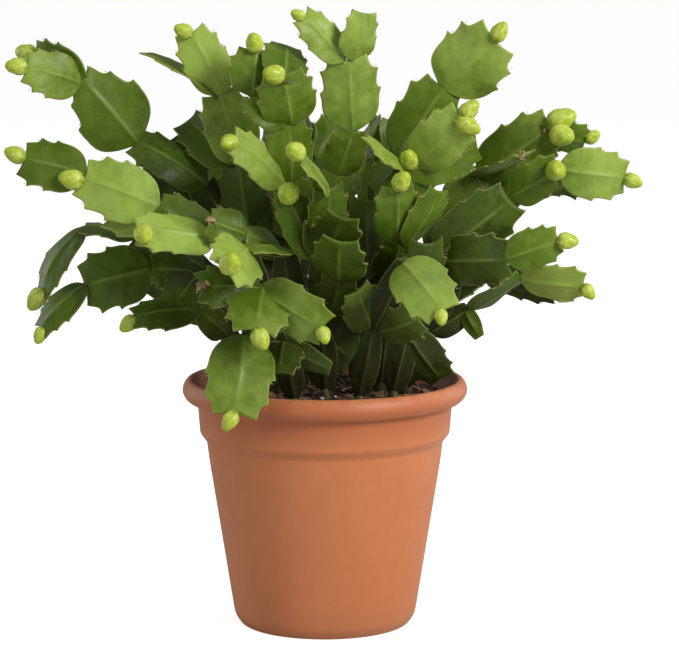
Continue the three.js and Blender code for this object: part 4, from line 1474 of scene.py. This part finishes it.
@dataclass(eq=False)
class Stem:
    """One rooted, leafy stem: its woody end in the mix, its segments in order of growth, and its buds.

    The rings of its woody end have their height above the mix and their radius. The strips of a withered
    flower vary in a range for each measure. Their thickness is that of their middle and of their margin.
    """

    name: str
    root: tuple[float, float]
    blades: list[Blade]
    buds: list[Bud]
    withered: list[Blade] = field(default_factory=list)
    peg_sides: int = 14
    peg_rings: tuple = (
        (-PEG_DEPTH, 2.6), (-6.0, 2.9), (-1.0, 3.0), (1.0, 2.9), (3.5, 2.5), (5.4, 2.3), (6.6, 1.7))
    peg_crown: float = 7.2
    knots: float = 0.06
    strips: int = 5
    strip_spread: tuple = (-0.9, 0.9)
    strip_length: tuple = (3.0, 5.0)
    strip_width: tuple = (1.2, 2.0)
    strip_turn: tuple = (-80, 80)
    strip_arch: tuple = (0.2, 0.4)
    strip_tone: tuple = (0.2, 0.9)
    strip_thickness: tuple = (0.45, 0.35)
    strip_sunk: float = 1.5

    @classmethod
    def seen_from_front(cls, number: int, name: str, root: Sequence[float], segments: Sequence[Sequence],
                        buds: Sequence[Sequence]) -> "Stem":
        """A front stem, from its row.

        Args:
            number: its place in the table.
            name: its CAD node.
            root: its rooted end on the mix.
            segments: its segments, as the table gives them.
            buds: its buds, as the table gives them.

        Returns:
            The stem.
        """
        tips = {"root": rooted_end(*root)}
        levels = {"root": -1}
        blades = {}
        for i, (key, origin, across, up, depth, width, turn, arch, *taper) in enumerate(segments):
            tips[key] = sighted(across, up, depth)
            levels[key] = levels[origin] + 1
            blades[key] = Blade(
                tips[origin], tips[key], unit(EYE - tips[origin]), width, turn, arch, i * WAVE_STEP,
                AGE_AND_SHADE_TONES.get(key, OLD_AND_SHADED_TONE), max(0.0, WOODY - LESS_WOODY * levels[key]),
                STEM_NUMBERS * number + i, taper=sum(taper))
        grown = [Bud(tips[origin], sighted(across, up, depth), STEM_NUMBERS * number + BUD_NUMBERS + i)
                 for i, (origin, across, up, depth) in enumerate(buds)]
        stem = cls(name, tuple(root), list(blades.values()), grown)
        for key in WITHERED:
            if key in blades:
                stem.wither(blades[key])
        return stem

    @classmethod
    def by_rule(cls, number: int, name: str, angle: float, trunk: Sequence[Sequence[float]],
                boughs: Sequence[dict], dice: SeededRandom) -> "Stem":
        """A rear stem, from its rooted end up its trunk and out along each bough.

        Args:
            number: its place among the stems.
            name: its CAD node.
            angle: the angle round the pot that it leans out at.
            trunk: how far out and up its trunk's joints are.
            boughs: the boughs' measures.
            dice: the numbers that vary it, drawn in the source's order.

        Returns:
            The stem.
        """
        (root_radius,), *joints = trunk
        foot = around_axis(root_radius, angle, 0)
        growth = RearGrowth(number, angle, dice, len(joints))
        fork = rooted_end(foot[0], foot[1])
        for radius, up in joints:
            fork = growth.grow(fork, around_axis(radius, angle, up), REAR_TRUNK_WIDTH + dice.sway(1))
        for order, bough in enumerate(boughs):
            growth.bough(fork, *joints[-1], order, bough)
        return cls(name, (foot[0], foot[1]), growth.blades, growth.buds)

    def wither(self, blade: Blade) -> None:
        """Leaves the withered rest of a flower at a segment's end: a few thin, crumpled strips.

        Args:
            blade: the segment.
        """
        dice = random.Random(blade.number + 7)
        onward = unit(blade.tip - blade.base)
        for i in range(self.strips):
            away = unit(onward + np.array([dice.uniform(*self.strip_spread) for _ in range(3)]))
            length = dice.uniform(*self.strip_length)
            start = blade.tip - onward * self.strip_sunk
            self.withered.append(Blade(
                start, start + away * length, blade.facing, width=dice.uniform(*self.strip_width),
                turn=dice.uniform(*self.strip_turn), arch=dice.uniform(*self.strip_arch),
                wave=dice.uniform(0, 1), tone=dice.uniform(*self.strip_tone), number=blade.number + 11 + i,
                rib_thickness=self.strip_thickness[0], margin_thickness=self.strip_thickness[1],
                finish=Finish.WITHERED))

    def join(self) -> None:
        """Gives each segment and bud the socket or the foot that it grows from, as the part's source does."""
        for blade in self.blades:
            lie = blade.lie()
            onward = [piece for piece in [*self.blades, *self.buds] if piece.base is blade.tip]
            straight = [piece for piece in onward if unit(piece.tip - piece.base).dot(lie.along) > GROWS_ON]
            straight.sort(key=lambda piece: -unit(piece.tip - piece.base).dot(lie.side))
            sockets = blade.sockets(lie, len(straight))
            for piece in onward:
                piece.foot = lie.at(FOOT * lie.length, 0, 0)
            for piece, socket in zip(straight, sockets):
                piece.socket = socket

    def peg(self) -> Skin:
        """Makes the woody end that stands in the mix.

        Returns:
            Its closed skin, a little knotted, with a rounded top.
        """
        x, y = self.root
        sides, rings = self.peg_sides, len(self.peg_rings)
        points = [(x, y, MIX_TOP - PEG_DEPTH)]
        for i, (height, radius) in enumerate(self.peg_rings, 1):
            for j in range(sides):
                angle = j / sides * 2 * math.pi
                knot = radius * (1 + self.knots * math.sin(3 * angle + x + i))
                points.append((x + knot * math.cos(angle), y + knot * math.sin(angle), MIX_TOP + height))
        points.append((x, y, MIX_TOP + self.peg_crown))
        numbers = 1 + np.arange(rings * sides).reshape(rings, sides)
        faces = tube(numbers) + [(one, 0, other) for one, other in pairwise([*numbers[0], numbers[0, 0]])]
        marks = np.tile((0.0, 1.0, 0.0), (len(points), 1))
        return Skin(np.array(points), faces, marks, np.zeros((len(points), 2)))

    def build(self, steps: int, finishes: Sequence[Material]) -> None:
        """Builds the stem's piece in place of its CAD node.

        Args:
            steps: how fine its segments and buds are.
            finishes: its materials, in the order of Finish.
        """
        self.join()
        skins = [self.peg(), *(part.skin(steps) for part in [*self.blades, *self.buds]),
                 *(strip.skin(1) for strip in self.withered)]
        settled(sewn(self.name.replace("stem", "leafy_stem"), skins, finishes), Slot.PLANT, self.name)


def all_stems() -> list[Stem]:
    """Makes every stem.

    Returns:
        The front stems, and then the rear ones by their rule.
    """
    stems = [Stem.seen_from_front(i, **row) for i, row in enumerate(FRONT_STEMS)]
    dice = SeededRandom(REAR_SEED)
    for row in REAR_STEMS:
        for i, angle in enumerate(row["angles"], 1):
            stems.append(Stem.by_rule(
                len(stems), f"{row['name']}_{i}", angle, row["trunk"], row["boughs"], dice))
    return stems


class Growth:
    """A Geometry Nodes tree with named inputs, and the plain mesh that it grows on a source mesh."""

    KINDS = {float: "NodeSocketFloat", int: "NodeSocketInt", Material: "NodeSocketMaterial"}

    def __init__(self, name: str, inputs: dict[str, object]) -> None:
        """Starts the tree.

        Args:
            name: the tree's name.
            inputs: its inputs with their values. Each has a kind that KINDS names.
        """
        self.tree = bpy.data.node_groups.new(name, "GeometryNodeTree")
        for way in ("INPUT", "OUTPUT"):
            self.tree.interface.new_socket(name="Geometry", in_out=way, socket_type="NodeSocketGeometry")
        self.identifiers = {}
        for key, value in inputs.items():
            socket = self.tree.interface.new_socket(
                name=key, in_out="INPUT", socket_type=self.KINDS[type(value)])
            socket.default_value = value
            self.identifiers[key] = socket.identifier
        self.graph = Graph(self.tree)
        self.given = self.tree.nodes.new("NodeGroupInput").outputs
        self.result = self.tree.nodes.new("NodeGroupOutput").inputs["Geometry"]

    def scattered(self) -> Socket:
        """Points scattered over the source mesh by the tree's density and seed."""
        inputs = {"Mesh": self.given["Geometry"], **{key: self.given[key] for key in ("Density", "Seed")}}
        return self.graph.add("GeometryNodeDistributePointsOnFaces", inputs).outputs["Points"]

    def drawn(self, low: object = 0.0, high: object = 1.0) -> Socket:
        """A number drawn for each point between two."""
        inputs = {2: low, 3: high, "Seed": self.given["Seed"]}
        return self.graph.add("FunctionNodeRandomValue", inputs, data_type="FLOAT").outputs[1]

    def drawn_vector(self, low: Sequence[float], high: Sequence[float]) -> Socket:
        """A vector drawn for each point between two."""
        inputs = {0: tuple(low), 1: tuple(high), "Seed": self.given["Seed"]}
        return self.graph.add("FunctionNodeRandomValue", inputs, data_type="FLOAT_VECTOR").outputs[0]

    def vector(self, operation: str, inputs: dict) -> Socket:
        """The result of one sum on vectors."""
        return self.graph.add("ShaderNodeVectorMath", inputs, operation=operation).outputs[0]

    def placed(self, points: Socket, instance: Socket, rotation: Socket, scale: Socket) -> Socket:
        """One instance on each point."""
        return self.graph.add("GeometryNodeInstanceOnPoints", {
            "Points": points, "Instance": instance, "Rotation": rotation, "Scale": scale}).outputs[0]

    def toned(self, instances: Socket) -> Socket:
        """The instances, each with a tone of its own."""
        inputs = {"Geometry": instances, "Name": "tone", "Value": self.drawn()}
        return self.graph.add("GeometryNodeStoreNamedAttribute", inputs, domain="INSTANCE").outputs[0]

    def jitter(self, geometry: Socket, depth: Socket, scale: float) -> Socket:
        """Moves each point by a cloudy amount, so that no two instances keep the same shape.

        Args:
            geometry: what is moved.
            depth: how far it moves.
            scale: how close the clouds are.

        Returns:
            The moved geometry.
        """
        clouds = self.graph.add("ShaderNodeTexNoise", {"Scale": scale, "Detail": 1.0}).outputs["Color"]
        centred = self.vector("SUBTRACT", {0: clouds, 1: (0.5, 0.5, 0.5)})
        offset = self.vector("SCALE", {0: centred, "Scale": depth})
        return self.graph.add("GeometryNodeSetPosition", {"Geometry": geometry, "Offset": offset}).outputs[0]

    def end(self, instances: Socket, shaped: Callable[[Socket], Socket] | None = None) -> "Growth":
        """Ends the tree in Realize Instances and Set Material.

        Args:
            instances: what the tree has placed.
            shaped: takes the realized geometry's socket and returns the one that is shaped further.

        Returns:
            The growth itself.
        """
        real = self.graph.add("GeometryNodeRealizeInstances", {"Geometry": instances}).outputs[0]
        if shaped:
            real = shaped(real)
        inputs = {"Geometry": real, "Material": self.given["Material"]}
        done = self.graph.add("GeometryNodeSetMaterial", inputs)
        self.tree.links.new(done.outputs[0], self.result)
        return self

    def grow(self, name: str, source: Mesh, **values: object) -> Mesh:
        """Grows the tree's geometry on a mesh.

        Args:
            name: the new piece's name.
            source: the mesh that it grows on, which isn't shown.
            values: the tree's inputs, with _ for a space.

        Returns:
            The grown piece as a plain mesh.
        """
        carrier = linked("carrier", source)
        modifier = carrier.modifiers.new("growth", "NODES")
        modifier.node_group = self.tree
        for key, value in values.items():
            modifier[self.identifiers[key.replace("_", " ")]] = value
        mesh = bpy.data.meshes.new_from_object(carrier.evaluated_get(bpy.context.evaluated_depsgraph_get()))
        bpy.data.objects.remove(carrier)
        mesh.name = name
        return mesh


def crumbs_growth(material: Material) -> Growth:
    """Crumbs, chips or grains that lie on a surface, in random sizes and turns.

    Args:
        material: what they are made of.

    Returns:
        The growth.
    """
    growth = Growth("crumbs", {
        "Density": 1000.0, "Smallest": 0.001, "Largest": 0.003, "Flatness": 0.6, "Length": 1.5,
        "Roughness": 0.002, "Seed": 1, "Material": material})
    graph, given = growth.graph, growth.given
    size = growth.drawn(given["Smallest"], given["Largest"])
    scale = graph.add("ShaderNodeCombineXYZ", {
        0: graph.times(size, given["Length"]), 1: size, 2: graph.times(size, given["Flatness"])}).outputs[0]
    lump = graph.add("GeometryNodeMeshIcoSphere", {"Radius": 0.5, "Subdivisions": 2}).outputs["Mesh"]
    turn = growth.drawn_vector((0.0, 0.0, 0.0), (0.9, 0.9, 6.28))
    placed = growth.placed(growth.scattered(), lump, turn, scale)
    return growth.end(growth.toned(placed), lambda real: growth.jitter(real, given["Roughness"], scale=420))


def fibres_growth(material: Material) -> Growth:
    """Thin bent fibres that lie on a surface.

    Args:
        material: what they are made of.

    Returns:
        The growth.
    """
    growth = Growth("fibres", {
        "Density": 1000.0, "Thickness": 0.0002, "Shortest": 0.006, "Longest": 0.016, "Crookedness": 0.004,
        "Seed": 1, "Material": material})
    graph, given = growth.graph, growth.given
    arc = graph.add("GeometryNodeCurveQuadraticBezier", {
        "Resolution": 7, "Start": (-0.5, 0.0, 0.02), "Middle": (0.05, 0.34, 0.2), "End": (0.5, 0.0, 0.02)})
    turn = growth.drawn_vector((0.0, 0.0, 0.0), (0.5, 0.5, 6.28))
    size = growth.drawn(given["Shortest"], given["Longest"])
    placed = growth.placed(growth.scattered(), arc.outputs[0], turn, size)
    ring = graph.add("GeometryNodeCurvePrimitiveCircle", {"Resolution": 5, "Radius": given["Thickness"]})
    thickness = {"Profile Curve": ring.outputs[0], "Fill Caps": True}

    def shaped(real: Socket) -> Socket:
        """Bends the arcs and gives them their thickness."""
        bent = growth.jitter(real, given["Crookedness"], scale=110)
        return graph.add("GeometryNodeCurveToMesh", {"Curve": bent, **thickness}).outputs[0]

    return growth.end(growth.toned(placed), shaped)


def bristles_growth(material: Material) -> Growth:
    """Short bristles that stand on points and spread about each point's own aim.

    Args:
        material: what they are made of.

    Returns:
        The growth.
    """
    growth = Growth("bristles", {
        "Count": 3, "Thickness": 0.00014, "Shortest": 0.0009, "Longest": 0.0022, "Spread": 0.6, "Seed": 1,
        "Material": material})
    graph, given = growth.graph, growth.given
    aim = graph.add("GeometryNodeInputNamedAttribute", {"Name": "aim"}, data_type="FLOAT_VECTOR").outputs[0]
    points = graph.add("GeometryNodeMeshToPoints", {"Mesh": given["Geometry"]}).outputs[0]
    many = graph.add("GeometryNodeDuplicateElements", {"Geometry": points, "Amount": given["Count"]},
                     domain="POINT").outputs[0]
    off = growth.drawn_vector((-1.0, -1.0, -1.0), (1.0, 1.0, 1.0))
    spread = growth.vector("SCALE", {0: off, "Scale": given["Spread"]})
    way = growth.vector("ADD", {0: aim, 1: spread})
    turn = graph.add("FunctionNodeAlignRotationToVector", {"Vector": way}, axis="Z").outputs[0]
    cone = graph.add("GeometryNodeMeshCone", {
        "Vertices": 3, "Radius Top": 0.0, "Radius Bottom": 1.0, "Depth": 1.0}).outputs["Mesh"]
    thick, size = given["Thickness"], growth.drawn(given["Shortest"], given["Longest"])
    scale = graph.add("ShaderNodeCombineXYZ", {0: thick, 1: thick, 2: size}).outputs[0]
    return growth.end(growth.placed(many, cone, turn, scale))


def grow_bristles(stems: Sequence[Stem], material: Material) -> None:
    """Grows bristles at all the areoles that the stems have noted.

    Args:
        stems: the stems, already built.
        material: the bristles' own.
    """
    spots = [spot for stem in stems for blade in stem.blades for spot in blade.spots]
    source = bpy.data.meshes.new("areoles")
    source.from_pydata([tuple(place * MM) for place, _ in spots], [], [])
    aims = source.attributes.new("aim", "FLOAT_VECTOR", "POINT")
    aims.data.foreach_set("vector", np.concatenate([aim for _, aim in spots]).astype(np.float32))
    growth = bristles_growth(material)
    settled(growth.grow("areole_bristles", source, Count=3, Material=material), Slot.PLANT)


def filleted(corners: Sequence[tuple[float, float, float]], steps: int) -> list[tuple[float, float]]:
    """Rounds the corners of a profile.

    Args:
        corners: each corner's radius, its height, and how far its rounding goes along both sides.
        steps: how many short pieces a rounding has.

    Returns:
        The profile's points.
    """
    places = [np.array(corner[:2], float) for corner in corners]
    line = []
    for i, (place, (_, _, reach)) in enumerate(zip(places, corners)):
        if reach == 0 or i in (0, len(corners) - 1):
            line.append(tuple(place))
            continue
        before, after = places[i - 1] - place, places[i + 1] - place
        reach = min(reach, *(FILLET_SHARE * np.linalg.norm(side) for side in (before, after)))
        start, end = place + unit(before) * reach, place + unit(after) * reach
        for step in range(steps + 1):
            s = step / steps
            line.append(tuple(start * (1 - s) ** 2 + place * 2 * s * (1 - s) + end * s * s))
    return line


def turned(line: Sequence[tuple[float, float]], sides: int) -> Solid:
    """Turns a profile that starts and ends on the axis into a closed solid, in metres.

    Args:
        line: the profile's points, each a radius and a height.
        sides: how many sides the solid has.

    Returns:
        The solid, which the caller frees.
    """
    solid = bmesh.new()
    rings = []
    for radius, height in line:
        out, up = radius * MM, height * MM
        turns = [2 * math.pi * i / sides for i in range(sides)] if radius > 0 else [0.0]
        rings.append([solid.verts.new((out * math.cos(turn), out * math.sin(turn), up)) for turn in turns])
    for lower, upper in pairwise(rings):
        for i in range(sides):
            j = (i + 1) % sides
            loop = [ring[k % len(ring)] for ring, k in ((lower, i), (lower, j), (upper, j), (upper, i))]
            solid.faces.new(list(dict.fromkeys(loop)))
    bmesh.ops.recalc_face_normals(solid, faces=solid.faces)
    return solid


def finished(solid: Solid, name: str) -> Mesh:
    """Makes a mesh of a solid and frees the solid.

    Args:
        solid: the solid.
        name: the mesh's name.

    Returns:
        The mesh.
    """
    mesh = bpy.data.meshes.new(name)
    solid.to_mesh(mesh)
    solid.free()
    return mesh


@dataclass
class Pot:
    """The moulded nursery pot: a turned wall with a stepped neck and a rolled rim, and discs in its base.

    A corner has its radius, its height and how far its rounding reaches along both sides.
    """

    corners: tuple = (
        (0, 0, 0), (45, 0, 1.2), (48.3, 4.6, 2.6), (61.4, 86.8, 9), (62.9, 98.5, 0.9), (66.4, 103, 1.1),
        (67.6, 118.6, 0.7), (73.4, 120.6, 2.2), (RIM_RADIUS, 125, 2.2), (74.9, 129, 2), (72.8, RIM_TOP, 1.3),
        (70.7, RIM_TOP, 0.9), (69.8, 126, 1.5),
        *((radius - WALL, height, 1.5) for radius, height in reversed(WALL_CORNERS)),
        (FOOT_RADIUS - WALL, FLOOR, 2), (0, FLOOR, 0),
    )
    sides: int = 160
    rounding_steps: int = 5
    wall_steps: int = 6
    tall: float = 20.0
    disc_count: int = 5
    disc_radius: float = 4.5
    disc_circle: float = 28.0
    disc_depth: float = 1.4
    disc_sides: int = 40
    crease: float = math.radians(32)

    def wall(self) -> Mesh:
        """Turns the wall, with extra rings along its tall side.

        Returns:
            Its mesh.
        """
        line = filleted(self.corners, self.rounding_steps)
        full = [line[0]]
        for one, other in pairwise(line):
            cuts = self.wall_steps if math.dist(one, other) > self.tall else 1
            full += [(one[0] + (other[0] - one[0]) * i / cuts, one[1] + (other[1] - one[1]) * i / cuts)
                     for i in range(1, cuts + 1)]
        return finished(turned(full, self.sides), "blank")

    def punch(self) -> Mesh:
        """Makes the round punches that leave the drain discs in the base.

        Returns:
            All of them as one mesh.
        """
        solid = bmesh.new()
        for i in range(self.disc_count):
            turn = 2 * math.pi * i / self.disc_count
            radius = self.disc_radius * MM
            made = bmesh.ops.create_cone(solid, cap_ends=True, segments=self.disc_sides, radius1=radius,
                                         radius2=radius, depth=2 * self.disc_depth * MM)
            bmesh.ops.translate(solid, verts=made["verts"], vec=(
                self.disc_circle * math.cos(turn) * MM, self.disc_circle * math.sin(turn) * MM, 0))
        return finished(solid, "punch")

    def build(self, finish: Material) -> None:
        """Builds the pot in place of its CAD node.

        Args:
            finish: its material.
        """
        blank, punch = linked("blank", self.wall()), linked("punch", self.punch())
        cut = blank.modifiers.new("discs", "BOOLEAN")
        cut.operation, cut.object, cut.solver = "DIFFERENCE", punch, "EXACT"
        mesh = bpy.data.meshes.new_from_object(blank.evaluated_get(bpy.context.evaluated_depsgraph_get()))
        for thing in (blank, punch):
            bpy.data.objects.remove(thing)
        mesh.materials.clear()
        mesh.materials.append(finish)
        mesh.polygons.foreach_set("material_index", [0] * len(mesh.polygons))
        mesh.shade_smooth()
        mesh.set_sharp_from_angle(angle=self.crease)
        mesh.name = "moulded_pot"
        settled(mesh, Slot.POT, "pot")


@dataclass
class PottingMix:
    """The peat that fills the pot, with crumbs, bark, grit and root fibres on its top.

    Its lumps have a height and a pitch. What lies on it keeps clear of the pot's wall.
    """

    brim: float = 66.96
    rings: int = 60
    sides: int = 120
    lump: float = 1.5
    lump_pitch: float = 7.0
    ridge_share: float = 0.4
    ridge_pitch: float = 4.2
    crumb_lump: float = 0.7
    crumb_pitch: float = 2.4
    fibre_clear: float = 10.0
    seed: int = 5

    def height(self, x: float, y: float) -> float:
        """How high the top of the mix is: the part's mound and lumps, with finer ones on them.

        Args:
            x: how far to the right.
            y: how far back.

        Returns:
            The height there.
        """
        edge = 1 - math.hypot(x, y) / RIM_RADIUS
        lumps = math.sin(x / LUMP_PITCH + 1.3) * math.cos(y / LUMP_PITCH - 0.6)
        coarse, fine, ridge = (
            noise.noise(Vector((x / pitch, y / pitch, layer)))
            for pitch, layer in ((self.lump_pitch, 0.3), (self.crumb_pitch, 4.1), (self.ridge_pitch, 9.0)))
        return MIX_TOP + MIX_MOUND * edge + MIX_LUMPS * lumps \
            + self.lump * (coarse - self.ridge_share * abs(ridge)) + self.crumb_lump * fine

    def body(self) -> Mesh:
        """Makes the closed body of the mix.

        Returns:
            Its mesh.
        """
        low = [(0.0, FLOOR + GAP), (FOOT_RADIUS - WALL - GAP, FLOOR + GAP)]
        low += [(radius - WALL - GAP, height) for radius, height in WALL_CORNERS]
        top = [((self.brim - GAP) * (1 - i / self.rings), MIX_TOP) for i in range(self.rings + 1)]
        solid = turned([*low, *top], self.sides)
        for vertex in solid.verts:
            if vertex.co.z > (MIX_TOP - 1) * MM:
                vertex.co.z = self.height(vertex.co.x / MM, vertex.co.y / MM) * MM
        mesh = finished(solid, "peat")
        mesh.shade_smooth()
        return mesh

    def top(self, clear: float) -> Mesh:
        """Makes only the top of the mix, as the surface that crumbs lie on.

        Args:
            clear: how far it stays from the pot's wall.

        Returns:
            Its mesh.
        """
        mesh = self.body()
        solid = bmesh.new()
        solid.from_mesh(mesh)
        middles = {face: face.calc_center_median() for face in solid.faces}
        off = [face for face, middle in middles.items()
               if middle.z < (MIX_TOP - 3) * MM or middle.xy.length > (self.brim - clear) * MM]
        bmesh.ops.delete(solid, geom=off, context="FACES")
        solid.to_mesh(mesh)
        solid.free()
        return mesh

    def build(self, effects: Effects) -> None:
        """Builds the peat in place of its CAD node, and what lies on it.

        Args:
            effects: the shared groups.
        """
        peat = DryFinish("peat", srgb(24, 17, 12), srgb(66, 48, 34), 0.92, 160.0, 900.0, 0.0012).make(effects)
        bark = DryFinish("bark", srgb(58, 38, 25), srgb(124, 88, 58), 0.85, 240.0, 1300.0,
                         0.0006, 1.1).make(effects)
        grit = DryFinish("grit", srgb(168, 158, 138), srgb(226, 220, 204), 0.7, 300.0, 900.0).make(effects)
        roots = DryFinish("root_fibre", srgb(104, 78, 50), srgb(188, 158, 112), 0.85, 200.0, 900.0,
                          0.0003, 1.1).make(effects)
        body = self.body()
        body.materials.append(peat)
        settled(body, Slot.MIX, "potting_mix")
        crumbs = crumbs_growth(peat)
        sown = (
            ("peat_crumbs", peat, 1.6, dict(Density=168000.0, Smallest=0.0008, Largest=0.0028,
                                            Flatness=0.75, Length=1.2, Roughness=0.0013)),
            ("bark_chips", bark, 6.0, dict(Density=9000.0, Smallest=0.002, Largest=0.0056,
                                           Flatness=0.32, Length=1.9, Roughness=0.0022)),
            ("grit_grains", grit, 3.6, dict(Density=900.0, Smallest=0.0014, Largest=0.0034,
                                            Flatness=0.8, Length=1.15, Roughness=0.0012)),
        )
        for seed, (name, material, clear, values) in enumerate(sown, self.seed):
            settled(crumbs.grow(name, self.top(clear), Material=material, Seed=seed, **values), Slot.MIX)
        fibres = fibres_growth(roots).grow(
            "root_fibres", self.top(self.fibre_clear), Material=roots, Density=14000.0, Thickness=0.00016,
            Shortest=0.007, Longest=0.019, Crookedness=0.006, Seed=self.seed + len(sown))
        settled(fibres, Slot.MIX)


@dataclass
class Studio:
    """A pale floor, soft lights and the camera at the photo's viewing angle, in metres.

    A light has its name, its place, its width, its power in watts and its colour.
    """

    eye: tuple = (0.0, -1.5, 0.3745)
    target: tuple = (0.00774, 0.0, 0.1541)
    lens: float = 151.67
    clip: tuple = (0.05, 100.0)
    lit: tuple = (0.0, 0.0, 0.2)
    floor_radius: float = 30.0
    floor_colour: Colour = srgb(185, 185, 185)
    floor_roughness: float = 0.9
    floor_glow: float = 0.85
    sky_light: float = 0.24
    sky_seen: float = 1.0
    white: Colour = (1.0, 1.0, 1.0, 1.0)
    lights: tuple = (
        ("key", (1.4, -1.25, 1.15), 0.8, 40.0, (1.0, 0.985, 0.95)),
        ("top", (-0.1, -0.2, 1.9), 1.2, 6.0, (1.0, 1.0, 1.0)),
        ("fill", (-1.3, -1.7, 0.25), 1.0, 9.0, (1.0, 1.0, 1.0)),
        ("back_right", (1.6, 0.9, 0.55), 1.2, 10.0, (1.0, 1.0, 1.0)),
        ("back_left", (-1.6, 0.9, 0.55), 1.2, 9.0, (1.0, 1.0, 1.0)),
    )

    def aimed(self, data: bpy.types.ID, place: Sequence[float], target: Sequence[float]) -> Piece:
        """Puts a camera or a light in the scene.

        Args:
            data: the camera or the light.
            place: where it stands.
            target: where it looks.

        Returns:
            Its object.
        """
        thing = linked(data.name, data)
        thing.location = place
        thing.rotation_euler = (Vector(target) - Vector(place)).to_track_quat("-Z", "Y").to_euler()
        return thing

    def camera(self) -> None:
        """Sets up the camera."""
        camera = bpy.data.cameras.new("camera")
        camera.lens = self.lens
        camera.clip_start, camera.clip_end = self.clip
        bpy.context.scene.camera = self.aimed(camera, self.eye, self.target)

    def light(self) -> None:
        """Adds the square soft lights, which look at the plant."""
        for name, place, size, power, colour in self.lights:
            lamp = bpy.data.lights.new(name, "AREA")
            lamp.shape, lamp.size, lamp.energy, lamp.color = "SQUARE", size, power, colour
            self.aimed(lamp, place, self.lit)

    def sky(self) -> None:
        """Lights the scene softly from all round, in front of a white backdrop."""
        world = bpy.data.worlds.new("studio")
        world.use_nodes = True
        graph = Graph(world.node_tree)
        seen = graph.add("ShaderNodeLightPath").outputs["Is Camera Ray"]
        backdrop = world.node_tree.nodes["Background"]
        backdrop.inputs["Color"].default_value = self.white
        more = graph.times(seen, self.sky_seen - self.sky_light)
        graph.feed(backdrop.inputs["Strength"], graph.plus(more, self.sky_light))
        bpy.context.scene.world = world

    def floor(self) -> None:
        """Lays the pale floor."""
        solid = bmesh.new()
        bmesh.ops.create_circle(solid, cap_ends=True, segments=64, radius=self.floor_radius)
        mesh = finished(solid, "floor")
        material, graph, surface = make_material("floor")
        surface.inputs["Base Color"].default_value = self.floor_colour
        surface.inputs["Roughness"].default_value = self.floor_roughness
        surface.inputs["Emission Color"].default_value = self.white
        seen = graph.add("ShaderNodeLightPath").outputs["Is Camera Ray"]
        graph.feed(surface.inputs["Emission Strength"], graph.times(seen, self.floor_glow))
        mesh.materials.append(material)
        floor = linked("floor", mesh)

    def build(self) -> None:
        """Builds the studio."""
        self.camera()
        self.sky()
        self.floor()
        self.light()
        bpy.context.scene.view_settings.view_transform = "Standard"


def main() -> None:
    """Builds the studio, the pot, the mix and the stems."""
    logging.basicConfig(level=logging.INFO, format="%(name)s: %(message)s")
    steps = 2
    Studio().build()
    effects = Effects.make()
    Pot().build(PotFinish().make(effects))
    PottingMix().build(effects)
    withered = DryFinish("withered_flower", srgb(92, 74, 44), srgb(186, 162, 112), 0.8, 300.0, 1400.0, 0.0003)
    finishes = [LeafFinish().make(effects), BudFinish().make(effects), withered.make(effects)]
    stems = all_stems()
    for stem in stems:
        stem.build(steps, finishes)
    bristle = DryFinish("bristle", srgb(150, 122, 84), srgb(206, 184, 140), 0.6, 200.0, 900.0, 0.0001)
    grow_bristles(stems, bristle.make(effects))


if __name__ == "__main__":
    main()
